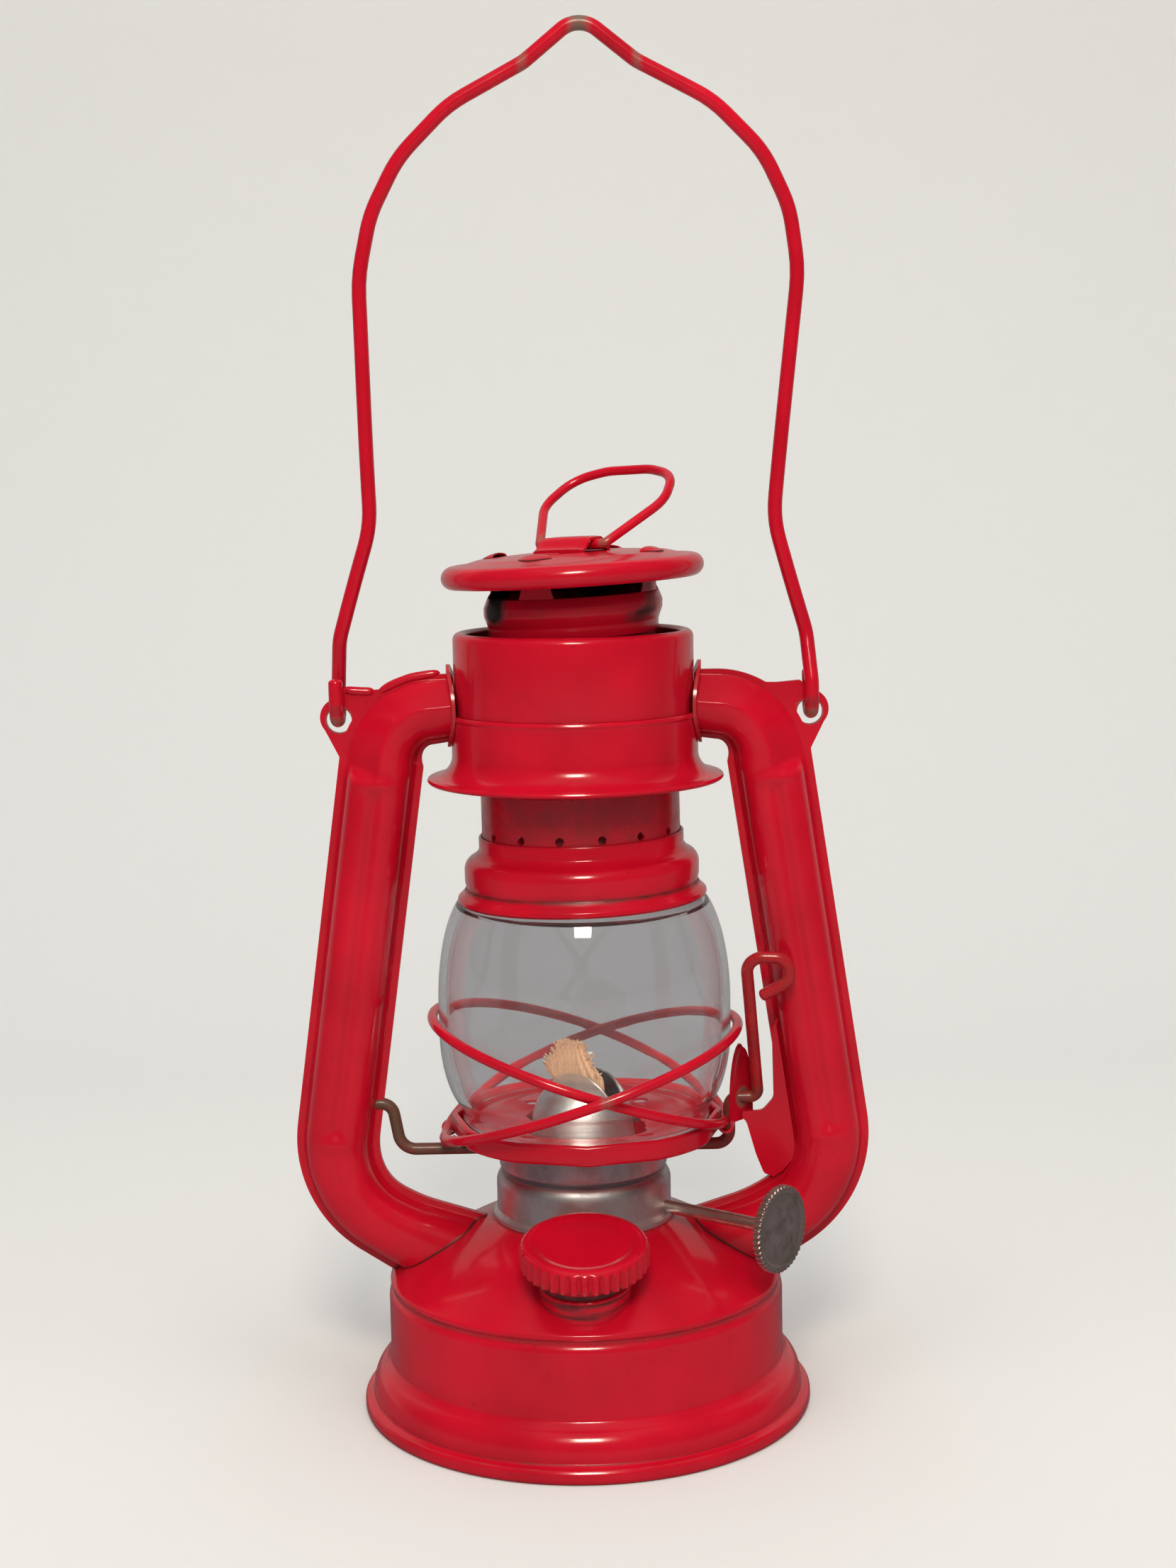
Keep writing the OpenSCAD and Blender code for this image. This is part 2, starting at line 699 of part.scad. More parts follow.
module chimney_bell() {
    neck = chimney_r + sheet_t + seat_gap;
    z = bell_z;
    color(red) spun([[bell_r, z], [bell_r, z + 1.2], [bell_r - 1.5, z + 2.8], [bell_r - 2.6, z + 4.4],
        [bell_r - 1.95, z + 5.8],
        [bell_r - 1.95, z + 9], [bell_r - 3, z + 11], [neck, z + 14], [neck, bell_neck_z]]);
}

leg_r = flue_r + seat_gap + sheet_t / 2;
leg_top_z = hood_crown_z - 0.6;

module leg(play, top) {
    translate([leg_r - sheet_t / 2 - play, -leg_w / 2 - play, head_z - 2])
        cube([sheet_t + 2 * play, leg_w + 2 * play, top - head_z + 2]);
}

module chimney_head() {
    r = flue_r + seat_gap + sheet_t;
    color(red) {
        spun([[r, head_z - 6], [r, head_z - 1.4], [r + 0.8, head_z - 0.6], [r + 0.3, head_z], [r,
            head_z + 0.5]]);
        for (i = [0 : leg_count - 1]) rotate(leg_azimuth + i * 360 / leg_count) {
            leg(0, leg_top_z);
            translate([leg_r - sheet_t / 2, -leg_w / 2, leg_top_z]) cube([3.4, leg_w, sheet_t]);
        }
    }
}

module hood() {
    r = hood_r;
    line = concat([[r - 0.8, hood_z], [r, hood_z + 1.2]], arc([r - 3, hood_z + 2.6], 3, 3, 0, 80, 6),
        [[r * 0.7, hood_crown_z - 1.6], [r * 0.4, hood_crown_z], [0, hood_crown_z]]);
    color(red) difference() {
        spun(line);
        for (i = [0 : leg_count - 1]) rotate(leg_azimuth + i * 360 / leg_count) leg(slot_play, far * 2);
    }
}

ring_r = ring_d / 2;
ring_axis_z = hood_crown_z + ring_r + pivot_gap + 0.5;
strap_l = 15;

module ring_place() {
    translate([0, 0, ring_axis_z]) rotate(ring_azimuth) children();
}

module ring_strap() {
    out_r = ring_r + pivot_gap + sheet_t;
    low = hood_crown_z + seat_gap - ring_axis_z;
    color(red) ring_place() difference() {
        union() {
            rotate([0, 90, 0]) cylinder(h = strap_l, r = out_r, center = true);
            translate([-strap_l / 2, -out_r, low]) cube([strap_l, 2 * out_r, -low]);
            translate([-strap_l / 2, -6, low]) cube([strap_l, 12, sheet_t]);
        }
        rotate([0, 90, 0]) cylinder(h = far, r = ring_r + pivot_gap, center = true);
        translate([-far / 2, -far / 2, low - far]) cube(far);
    }
}

module lift_ring() {
    foot = strap_l / 2 + 3.6;
    wide = ring_h * 0.6;
    mid = ring_h * 0.45;
    half = [[0.1, 0, 0], [foot, 0, 0], [wide, 0, mid], [wide * 0.72, 0, ring_h]];
    path = concat(half, [for (i = [3 : -1 : 0]) [-half[i].x, 0, half[i].z]]);
    color(red) ring_place() {
        rotate([-ring_lean, 0, 0]) wire(path, [2.6, 9, 9, 9, 9, 2.6], ring_r * thin);
        for (s = [-1, 1]) rotate([0, s * 90, 0]) translate([0, 0, 0.1]) cylinder(h = strap_l / 2 + 0.4,
            r = ring_r);
    }
}

// Coil spring between the chimney's step and the sleeve's guide plate
spring_low = spring_seat_z + 1.4;
spring_high = guide_z - run_gap;
spring_rise = spring_high - spring_low - 2 * spring_wire_r;
spring_gap = spring_rise / spring_turns - 2 * spring_wire_r;
echo(least_gap_between_spring_coils = spring_gap);

module canopy_spring() {
    sides = 8;
    per_turn = 24;
    rings = spring_turns * per_turn;
    points = [for (i = [0 : rings], k = [0 : sides - 1])
        let (a = 360 * i / per_turn, b = 360 * k / sides, r = spring_r + spring_wire_r * cos(b))
        [r * cos(a), r * sin(a),
            spring_low + spring_wire_r + spring_rise * i / rings + spring_wire_r * sin(b)]];
    walls = [for (i = [0 : rings - 1], k = [0 : sides - 1])
        let (a = i * sides + k, b = i * sides + (k + 1) % sides) [a, b, b + sides, a + sides]];
    caps = [[for (k = [sides - 1 : -1 : 0]) k], [for (k = [0 : sides - 1]) rings * sides + k]];
    color(inner_tin) polyhedron(points, concat(walls, caps));
}

// Globe, plate and guard

module globe() {
    g = globe_r;
    foot = g - 5.6;
    line = concat([[foot, globe_foot_z], [foot, globe_foot_z + 3]],
        arc([g - 9, globe_waist_z], 9, globe_waist_z - globe_foot_z - 2, -60, 0, 7),
        arc([g - 18, globe_waist_z], 18, globe_top_z - globe_waist_z - 0.4, 7, 55, 7),
        [[globe_neck_r, globe_top_z - 3.4], [globe_neck_r, globe_top_z]]);
    color("#dfe8e6", 0.35) spun(line, glass_t);
}

plate_rim_z = collar_top_z + plate_rim_h;
plate_line = [[plate_r - 0.8, plate_rim_z], [plate_r - 0.8, plate_seat_z + 0.9], [plate_r - 1.6,
    plate_seat_z],
    [plate_r - 5.5, plate_seat_z], [plate_r - 9.5, plate_floor_z], [plate_hole_r, plate_floor_z]];

module globe_plate() {
    color(red) difference() {
        union() {
            spun(plate_line, -sheet_t);
            translate([0, 0, plate_rim_z]) rotate_extrude() translate([plate_r - 0.9, 0]) circle(0.9);
        }
        for (i = [0 : 11]) rotate(i * 30 + 15) translate([plate_r - 12, 0, plate_floor_z - 1])
            cylinder(h = 6, r = 1.6);
        for (i = [0 : 5]) rotate(i * 60 + 30) translate([plate_hole_r, 0,
            plate_floor_z - 1]) cylinder(h = 4, r = 1.7);
    }
}

guard_r = guard_d / 2;
guard_high_x = globe_r + guard_r + 0.9;
guard_low_x = plate_r - 0.4;
guard_rise = guard_high_z - guard_low_z;
guard_span = guard_high_x + guard_low_x;
guard_hoop_r = norm([guard_span, guard_rise]) / 2;
guard_tilt = atan2(guard_rise, guard_span);
guard_shift = guard_r + seat_gap;

// Hoop that is high on the left; turned half round it is high on the right
module guard_hoop() {
    translate([(guard_low_x - guard_high_x) / 2, guard_shift, (guard_high_z + guard_low_z) / 2])
        rotate([0, guard_tilt, 0]) rotate_extrude() translate([guard_hoop_r, 0]) circle(guard_r);
}

module guard_hoop_a() {
    color(red) guard_hoop();
}

module guard_hoop_b() {
    color(red) rotate(180) guard_hoop();
}

// Clips that hold each hoop's low end under the plate's edge
module hoop_clips() {
    low = guard_low_z - guard_r - 0.7;
    skin = [for (i = [0 : len(plate_line) - 1]) plate_line[i] + seat_gap * corner_shift(plate_line, i)];
    color(red) difference() {
        for (side = [-1, 1], y = [-6.5, 6.5])
            translate([side * (guard_low_x - 0.5) - 2.3, y - 1.2, low]) cube([4.6, 2.4,
                plate_seat_z + 1.6 - low]);
        rotate_extrude() polygon(concat(skin, [[0, plate_floor_z], [0, plate_rim_z]]));
        clip_room();
        rotate(180) clip_room();
    }
}

// Hoop's room in its clips
module clip_room() {
    translate([(guard_low_x - guard_high_x) / 2, guard_shift, (guard_high_z + guard_low_z) / 2])
        rotate([0, guard_tilt, 0]) rotate_extrude() translate([guard_hoop_r, 0]) circle(guard_r + seat_gap);
}

// Lift crank: one wire from the left tube, behind the burner, to the finger lever

crank_low_z = crank_z - crank_drop;
crank_left_x = -48.5;
crank_end_x = -56;
crank_right_x = guard_low_x + 3.3;
hook_w = 8.4;

function lever_point(x, along, off) =
    [x, -along * sin(lever_lean) - off * cos(lever_lean),
        crank_z + along * cos(lever_lean) - off * sin(lever_lean)];

module lift_crank() {
    back = bow_r + 2.5;
    path = [[crank_end_x, 0, crank_z], [crank_left_x, 0, crank_z], [crank_left_x, 0, crank_low_z],
        [-bow_r, 0, crank_low_z],
        [-bow_r, back, crank_low_z], [bow_r, back, crank_low_z], [bow_r, 0, crank_low_z], [crank_right_x,
            0, crank_low_z],
        [crank_right_x, 0, crank_z], [lever_x, 0, crank_z], lever_point(lever_x - 2, lever_len, 0),
        lever_point(lever_x + hook_w, lever_len, 1), lever_point(lever_x + hook_w + 0.3, lever_len - 6, 2),
        lever_point(lever_x + 2.2, lever_len - 11, 2)];
    bends = [2.4, 3.4, 2, bow_r - 0.1, bow_r - 0.1, 2, 3.4, 2.4, 2, 4.2, 3.6, 2.6];
    color(wire_brown) {
        wire(path, bends, crank_r * thin);
        rod([crank_end_x, 0, crank_z], [crank_left_x - 2.5, 0, crank_z], crank_r);
        rod([crank_right_x + 2.5, 0, crank_z], [lever_x - 2.1, 0, crank_z], crank_r);
    }
}

// Sheet bracket on the right tube that carries the lever's end

bracket_t = 1;

// Inner edge of the right tube's channel at height z, where the bracket's sheet stops
function channel_edge(z) =
    elbow_x - (z - elbow_z) * (elbow_x - tube_corner_x) / (tube_top_z - elbow_z)
        - (channel_w + 0.7) / -lean_dir.y;

tongue_x = lever_x - crank_r - run_gap - bracket_t - 0.6;
// Turn of the tongue to face the front left
tongue_turn = -25;

module lever_bracket() {
    y = -seam_play - sheet_t - seat_gap;
    notch_z = crank_z - 3.3;
    notch_x = lever_x + 4.8;
    tip = [lever_x + 5, elbow_z + 0.5];
    bend = [for (a = [lean_angle, 105, 125,
        foot_angle]) foot_centre + (tube_bend - channel_w - 0.8) * tube_out(a)];
    plate = concat([tip, tip + [-2.7, 0.9], [lever_x + 0.4, notch_z - 8.5], [tongue_x + 0.7, notch_z - 3],
        [tongue_x - 0.3, notch_z - 2.4], [tongue_x - 0.3, notch_z], [notch_x - 1.6, notch_z],
        [notch_x - 0.4, notch_z + 0.6], [notch_x, notch_z + 1.8], [notch_x - 0.4, crank_z + 18.5],
        [channel_edge(crank_z + 21), crank_z + 21]], bend);
    tongue = [[-4.2, notch_z - 2.6], [4.2, notch_z - 2.6], [4.4, crank_z + 3], [1.4, crank_z + 12.7],
        [-1.4, crank_z + 14], [-4.4, crank_z + 3]];
    color(red) difference() {
        union() {
            translate([0, y, 0]) rotate([90, 0, 0]) linear_extrude(bracket_t) polygon(plate);
            translate([tongue_x + bracket_t / 2, 0, 0]) rotate(tongue_turn) rotate([90, 0, 90])
                linear_extrude(bracket_t, center = true) polygon(tongue);
        }
        translate([0, 0, crank_z]) rotate([0, 90, 0]) cylinder(h = lever_x, r = crank_r + pivot_gap);
    }
}

// Bail

bail_r = bail_d / 2;
hook_r = ear_strip / 2 + bail_r + 0.55;

module bail() {
    z = bail_pivot_z;
    w = bail_half_w;
    p = bail_peak_z;
    half = [[ear_x, hook_r, z + 6], [ear_x, hook_r, z - hook_r], [ear_x, -hook_r, z - hook_r], [ear_x,
        -hook_r, z + 3],
        [ear_x - 2.6, 0, z + 18], [w - 2.6, 0, p - 121], [w, 0, p - 60], [w - 2.8, 0, p - 45], [w - 9.6,
            0, p - 31.5],
        [w - 22, 0, p - 19.5], [13.5, 0, p - 9.6], [0, 0, p + 1.8]];
    n = len(half);
    path = concat(half, [for (i = [n - 2 : -1 : 0]) [-half[i].x, half[i].y, half[i].z]]);
    half_bends = [hook_r - 0.1, hook_r - 0.1, 5, 14, 30, 40, 30, 30, 30, 12];
    bends = concat(half_bends, [7], [for (i = [len(half_bends) - 1 : -1 : 0]) half_bends[i]]);
    color(red) wire(path, bends, bail_r);
}

tank_body();
tank_bottom();
tank_top();
air_plate();
filler_neck();
filler_cap();
cap_gasket();
burner_socket();
burner_deck();
burner_collar();
burner_dome();
wick_tube();
wick();
wick_spindle();
wick_wheels();
wick_knob();
left_tube_front();
left_tube_rear();
right_tube_front();
right_tube_rear();
left_tube_collar();
right_tube_collar();
sleeve_body();
sleeve_skirt();
sleeve_guide();
chimney_tube();
chimney_bell();
chimney_head();
hood();
ring_strap();
lift_ring();
canopy_spring();
globe();
globe_plate();
guard_hoop_a();
guard_hoop_b();
hoop_clips();
lift_crank();
lever_bracket();
bail();
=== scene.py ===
"""Looks of a red hurricane lantern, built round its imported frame.

Every length below is in millimetres and in the part's own frame (+Z up, front towards -Y) until a mesh is made.
"""

import logging
import math
from dataclasses import dataclass, field
from enum import Enum

import bmesh
import bpy
import numpy as np
from mathutils import Euler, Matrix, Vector
from numpy.typing import NDArray


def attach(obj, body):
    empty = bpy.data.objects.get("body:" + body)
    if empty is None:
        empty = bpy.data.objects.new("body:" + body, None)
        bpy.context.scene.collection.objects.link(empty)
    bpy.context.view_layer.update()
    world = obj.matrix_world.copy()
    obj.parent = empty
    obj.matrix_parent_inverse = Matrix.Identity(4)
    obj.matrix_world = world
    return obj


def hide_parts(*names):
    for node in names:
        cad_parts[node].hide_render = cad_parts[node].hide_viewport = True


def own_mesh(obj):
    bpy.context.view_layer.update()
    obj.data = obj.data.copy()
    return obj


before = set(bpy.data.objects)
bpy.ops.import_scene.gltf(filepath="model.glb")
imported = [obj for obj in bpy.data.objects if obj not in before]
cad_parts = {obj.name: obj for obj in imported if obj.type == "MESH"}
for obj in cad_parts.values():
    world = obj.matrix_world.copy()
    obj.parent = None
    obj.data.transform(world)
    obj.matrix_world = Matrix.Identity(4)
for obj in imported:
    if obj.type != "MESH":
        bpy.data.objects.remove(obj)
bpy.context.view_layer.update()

LOG = logging.getLogger("lantern")
MM = 0.001
ROUND = 180
SHEET = 0.8
MERGE = 2e-6
Array = NDArray[np.float64]
Socket = bpy.types.NodeSocket


class Side(Enum):
    """Side of the lantern, as the sign of its X."""

    LEFT = -1
    RIGHT = 1


class Half(Enum):
    """Pressed half of a side tube, as the sign of its Y."""

    FRONT = -1
    REAR = 1


# Surfaces


@dataclass
class Surface:
    """Points and four-sided faces of one surface, with named masks from 0 to 1 on its points."""

    points: Array
    faces: NDArray[np.int64]
    masks: dict[str, Array] = field(default_factory=dict)

    def __add__(self, other: "Surface") -> "Surface":
        """Both surfaces as one; a mask that one of them lacks is 0 there."""
        keys = set(self.masks) | set(other.masks)
        pairs = {k: [s.masks.get(k, np.zeros(len(s.points))) for s in (self, other)] for k in keys}
        faces = np.vstack([self.faces, other.faces + len(self.points)])
        masks = {k: np.concatenate(v) for k, v in pairs.items()}
        return Surface(np.vstack([self.points, other.points]), faces, masks)

    @property
    def z(self) -> Array:
        """Height of each point."""
        return self.points[:, 2]

    @property
    def far(self) -> Array:
        """Distance of each point from the Z axis."""
        return np.hypot(self.points[:, 0], self.points[:, 1])

    def moved(self, matrix: Array) -> "Surface":
        """The surface carried by a 4 by 4 matrix."""
        return Surface(self.points @ matrix[:3, :3].T + matrix[:3, 3], self.faces, self.masks)

    def flipped(self, x: int = 1, y: int = 1) -> "Surface":
        """The surface mirrored where x or y is -1."""
        return Surface(self.points * np.array([x, y, 1.0]), self.faces, self.masks)

    def masked(self, **masks: Array) -> "Surface":
        """The surface with these masks added."""
        return Surface(self.points, self.faces, {**self.masks, **masks})


def circle(n: int) -> Array:
    """Angles of n points round a circle."""
    return np.linspace(0, 2 * np.pi, n, endpoint=False)


def polar(r: Array, a: Array, z: Array) -> Array:
    """Points at a radius, angle and height: (r cos a, r sin a, z)."""
    return np.stack([r * np.cos(a), r * np.sin(a), z + 0 * a], -1)


def unit(v: Array) -> Array:
    """Vectors scaled to length 1 along their last axis."""
    return v / np.linalg.norm(v, axis=-1, keepdims=True)


def axes_at(origin: tuple[float, float, float], up: Array, hint: Array) -> Array:
    """Frame matrix at origin whose Z is up and whose X is as near to hint as it can be.

    Args:
        origin: Place of the frame.
        up: Direction of its Z.
        hint: Rough direction of its X.

    Returns:
        A 4 by 4 matrix.
    """
    z = unit(np.array(up, float))
    x = unit(np.array(hint, float) - z * (z @ np.array(hint, float)))
    out = np.eye(4)
    out[:3, 0], out[:3, 1], out[:3, 2], out[:3, 3] = x, np.cross(z, x), z, origin
    return out


def upright(azimuth: float, at: tuple[float, float, float] = (0.0, 0.0, 0.0)) -> Array:
    """Frame matrix whose Z is up and whose X points to an azimuth in degrees."""
    a = math.radians(azimuth)
    return axes_at(at, np.array([0, 0, 1.0]), np.array([math.cos(a), math.sin(a), 0]))


def bell(x: Array, middle: float, width: float) -> Array:
    """Gaussian bump of height 1."""
    return np.exp(-(((x - middle) / width) ** 2))


def ease(x: Array) -> Array:
    """Smooth step from 0 to 1 as x goes from 0 to 1."""
    t = np.clip(x, 0, 1)
    return t * t * (3 - 2 * t)


def arc(centre: tuple[float, float], rx: float, ry: float, start: float, end: float, steps: int = 12) -> Array:
    """Points of an elliptic arc, its angles in degrees."""
    a = np.radians(np.linspace(start, end, steps + 1))
    return np.column_stack([centre[0] + rx * np.cos(a), centre[1] + ry * np.sin(a)])


def bent(points: list | Array, radii: float | list[float], step: float = 9.0) -> Array:
    """Line through points with each inner corner turned on an arc.

    At a corner the arc starts radius times the tangent of half the turn before it, and swings about a
    centre that lies one radius to the inner side.

    Args:
        points: Corners in 2 or 3 dimensions.
        radii: Bend radius of each inner corner, or one for all.
        step: Degrees of turn between points of an arc.

    Returns:
        The line's points.
    """
    p = np.array(points, float)
    r = np.broadcast_to(np.array(radii, float), len(p) - 2)
    heading = unit(np.diff(p, axis=0))
    out = [p[:1]]
    for i, (a, b, radius) in enumerate(zip(heading[:-1], heading[1:], r), start=1):
        turn = math.acos(float(np.clip(a @ b, -1, 1)))
        if turn < 1e-4 or radius <= 0:
            out.append(p[i : i + 1])
            continue
        inward = unit(b - (b @ a) * a)
        centre = p[i] - a * radius * math.tan(turn / 2) + radius * inward
        s = np.linspace(0, turn, max(2, round(math.degrees(turn) / step)) + 1)[:, None]
        out.append(centre + radius * (np.sin(s) * a - np.cos(s) * inward))
    return np.vstack(out + [p[-1:]])


def even(path: Array, spacing: float) -> Array:
    """Path resampled at about even spacing along its length."""
    s = np.concatenate([[0], np.cumsum(np.linalg.norm(np.diff(path, axis=0), axis=1))])
    t = np.linspace(0, s[-1], max(2, round(s[-1] / spacing)) + 1)
    return np.column_stack([np.interp(t, s, c) for c in path.T])


def offset(line: Array, distance: float) -> Array:
    """Flat line moved to the left of its travel, mitred at its corners."""
    step = unit(np.diff(line, axis=0))
    normal = np.column_stack([-step[:, 1], step[:, 0]])
    mitre = np.vstack([normal[:1], normal]) + np.vstack([normal, normal[-1:]])
    return line + distance * 2 * mitre / (mitre**2).sum(1, keepdims=True)


def half_round(end: Array, towards: Array, thick: float) -> Array:
    """Half circle that closes a sheet's edge, from its drawn face to its other face."""
    normal = np.array([-towards[1], towards[0]])
    a = np.radians([30, 60, 90, 120, 150])[:, None]
    return end + normal * thick / 2 + abs(thick) / 2 * (-np.cos(a) * normal * np.sign(thick) + np.sin(a) * towards)


def wall(line: Array, thick: float = SHEET) -> Array:
    """Closed outline of a sheet to the left of a flat line, with rounded edges."""
    heads = unit(np.array([line[-1] - line[-2], line[0] - line[1]]))
    other = offset(line, thick)[::-1]
    near = half_round(line[-1], heads[0], thick)
    back = half_round(line[0], -heads[1], thick)[::-1]
    back = back + 2 * ((line[0] - back) @ heads[1])[:, None] * heads[1]
    return np.vstack([line, near, other, back])


def grid_faces(rows: int, cols: int, wrap_rows: bool, wrap_cols: bool) -> NDArray[np.int64]:
    """Faces between neighbours of a grid of points."""
    i = np.arange(rows if wrap_rows else rows - 1)[:, None]
    j = np.arange(cols if wrap_cols else cols - 1)[None, :]
    k, m = (i + 1) % rows, (j + 1) % cols
    return np.stack([i * cols + j, i * cols + m, k * cols + m, k * cols + j], -1).reshape(-1, 4)


def woven(grid: Array, closed: bool = True) -> Surface:
    """Surface over a grid of points whose columns meet, and whose rows meet where it is closed."""
    return Surface(grid.reshape(-1, 3), grid_faces(*grid.shape[:2], closed, True))


def lathe(section: Array, around: int | Array = ROUND, closed: bool = True) -> Surface:
    """Section of (radius, height) turned about Z: (r cos a, r sin a, z).

    Args:
        section: Outline in the plane of radius and height.
        around: Number of points round the axis, or their angles in radians.
        closed: Whether the section's last point joins its first.

    Returns:
        The turned surface.
    """
    a = circle(around) if isinstance(around, int) else around
    return woven(polar(np.maximum(section[:, :1], 0), a, section[:, 1:2]), closed)


def sheet(*lines: Array, thick: float = SHEET) -> Surface:
    """Turned sheet whose drawn face follows lines of (radius, height) end to end."""
    return lathe(wall(np.vstack(lines), thick))


def wire(path: Array, radius: float, sides: int, ring: bool = False, skew: tuple = (1.0, 0.9, 0.25)) -> Surface:
    """Round wire along a path: path + radius (cos b n + sin b (t x n)), its ends softly rounded.

    Args:
        path: Points of the wire's middle.
        radius: Radius of the wire.
        sides: Points round it.
        ring: Whether the path closes on itself.
        skew: A direction that the path never takes, which n is measured from.

    Returns:
        The wire's surface.
    """
    if ring:
        along = unit(np.roll(path, -1, 0) - np.roll(path, 1, 0))
        reach = np.full(len(path), radius)
    else:
        along = unit(np.gradient(path, axis=0))
        tip = np.radians([90.0, 65, 40, 18])
        path = np.vstack([path[0] - 0.6 * radius * np.sin(tip)[:, None] * along[0], path,
                          path[-1] + 0.6 * radius * np.sin(tip[::-1])[:, None] * along[-1]])
        reach = np.concatenate([radius * np.cos(tip), np.full(len(along), radius), radius * np.cos(tip[::-1])])
        along = np.vstack([np.repeat(along[:1], 4, 0), along, np.repeat(along[-1:], 4, 0)])
    n = unit(np.array(skew) - (along @ np.array(skew))[:, None] * along)
    b = circle(sides)[None, :, None]
    spoke = np.cos(b) * n[:, None] + np.sin(b) * np.cross(along, n)[:, None]
    return woven(path[:, None] + reach[:, None, None] * spoke, ring)


def shell(grid: Array, thick: float, outward: tuple[float, float, float]) -> Surface:
    """Sheet with one face on a grid of points, and the other one thickness behind along the grid's normals.

    Args:
        grid: Points in rows and columns.
        thick: Thickness of the sheet.
        outward: Rough direction that the drawn face looks in.

    Returns:
        The closed sheet.
    """
    normal = unit(np.cross(np.gradient(grid, axis=0), np.gradient(grid, axis=1)))
    sign = 1.0 if (normal.reshape(-1, 3) @ np.array(outward)).sum() > 0 else -1.0
    loop = np.concatenate([grid, (grid - sign * thick * normal)[:, ::-1]], axis=1)
    rows, cols = loop.shape[:2]
    j = np.arange(cols // 2 - 1)
    end = np.stack([j, j + 1, cols - 2 - j, cols - 1 - j], -1)
    faces = np.vstack([grid_faces(rows, cols, False, True), end, end[:, ::-1] + (rows - 1) * cols])
    return Surface(loop.reshape(-1, 3), faces)


def ray_reach(centre: Array, angles: Array, outline: Array) -> Array:
    """Distance from a centre to the nearest crossing of a closed flat outline, at each angle."""
    a, b = outline - centre, np.roll(outline, -1, 0) - centre
    d = np.column_stack([np.cos(angles), np.sin(angles)])
    e = b - a
    bottom = d[:, :1] * e[:, 1] - d[:, 1:] * e[:, 0]
    safe = np.where(np.abs(bottom) < 1e-9, 1e-9, bottom)
    t = (a[:, 0] * e[:, 1] - a[:, 1] * e[:, 0]) / safe
    u = (a[:, 0] * d[:, 1:] - a[:, 1] * d[:, :1]) / safe
    return np.where((u >= -1e-9) & (u <= 1 + 1e-9) & (t > 0), t, 1e6).min(1)


def pierced(n: int, at: float, half: float, hole: float, sides: int = 8) -> tuple[Array, Array]:
    """Cells of a ring of round holes, as angle and distance across the ring.

    Each cell is a patch about one hole. Its points run from the hole's circle to the patch's straight
    edges along rays, so that neighbouring patches meet point for point.

    Args:
        n: Number of holes.
        at: Radius at which the holes are spaced.
        half: Half height of the patches.
        hole: Radius of the holes.
        sides: Points along each edge of a patch.

    Returns:
        Angles and distances, each by hole, step from hole to edge, and ray.
    """
    wide = math.pi * at / n
    corner = math.atan2(half, wide)
    ray = np.concatenate([np.linspace(-corner, corner, sides, endpoint=False),
                          np.linspace(corner, math.pi - corner, sides, endpoint=False),
                          np.linspace(math.pi - corner, math.pi + corner, sides, endpoint=False),
                          np.linspace(math.pi + corner, 2 * math.pi - corner, sides, endpoint=False)])
    edge = 1 / np.maximum(np.abs(np.cos(ray)) / wide, np.abs(np.sin(ray)) / half)
    reach = hole + np.linspace(0, 1, 4)[:, None] * (edge - hole)
    middle = (np.arange(n) + 0.5)[:, None, None] * 2 * math.pi / n - math.pi / 2
    return middle + reach * np.cos(ray) / at, np.broadcast_to(reach * np.sin(ray), (n, 4, len(ray)))


def pierced_ring(front: Array, back: Array) -> Surface:
    """Surface of the cells' two skins and hole walls: steps 0 to 3 in front, then 3 to 0 behind."""
    cells = np.concatenate([front, back[:, ::-1]], axis=1)
    n, steps, rays = cells.shape[:3]
    one = grid_faces(steps, rays, True, True)
    one = one[np.arange(len(one)) // rays != steps // 2 - 1]
    return Surface(cells.reshape(-1, 3), (one[None] + (np.arange(n) * steps * rays)[:, None, None]).reshape(-1, 4))


def pierced_edge(angle: Array, across: Array, half: float) -> Array:
    """Angles at which turned sheet meets the cells' edges point for point."""
    edge = angle[:, 3][:, np.isclose(np.abs(across[0, 3]), half)].ravel()
    a = np.concatenate([edge, circle(len(angle)) - np.pi / 2])
    a = np.unique(np.round(a % (2 * np.pi), 9))
    return a[np.concatenate([[True], np.diff(a) > 1e-6])]


# Finishes


def linear(code: str) -> tuple[float, float, float, float]:
    """Linear colour of an sRGB hex code."""
    c = np.array([int(code[i : i + 2], 16) for i in (1, 3, 5)]) / 255
    c = np.where(c <= 0.04045, c / 12.92, ((c + 0.055) / 1.055) ** 2.4)
    return (float(c[0]), float(c[1]), float(c[2]), 1.0)


def add_node(tree: bpy.types.NodeTree, kind: str, links: dict | None = None, **settings) -> bpy.types.Node:
    """Node with its settings, and its inputs set to values or linked to sockets."""
    node = tree.nodes.new(kind)
    for key, value in settings.items():
        setattr(node, key, value)
    for key, value in (links or {}).items():
        if isinstance(value, bpy.types.NodeSocket):
            tree.links.new(value, node.inputs[key])
        else:
            node.inputs[key].default_value = value
    return node


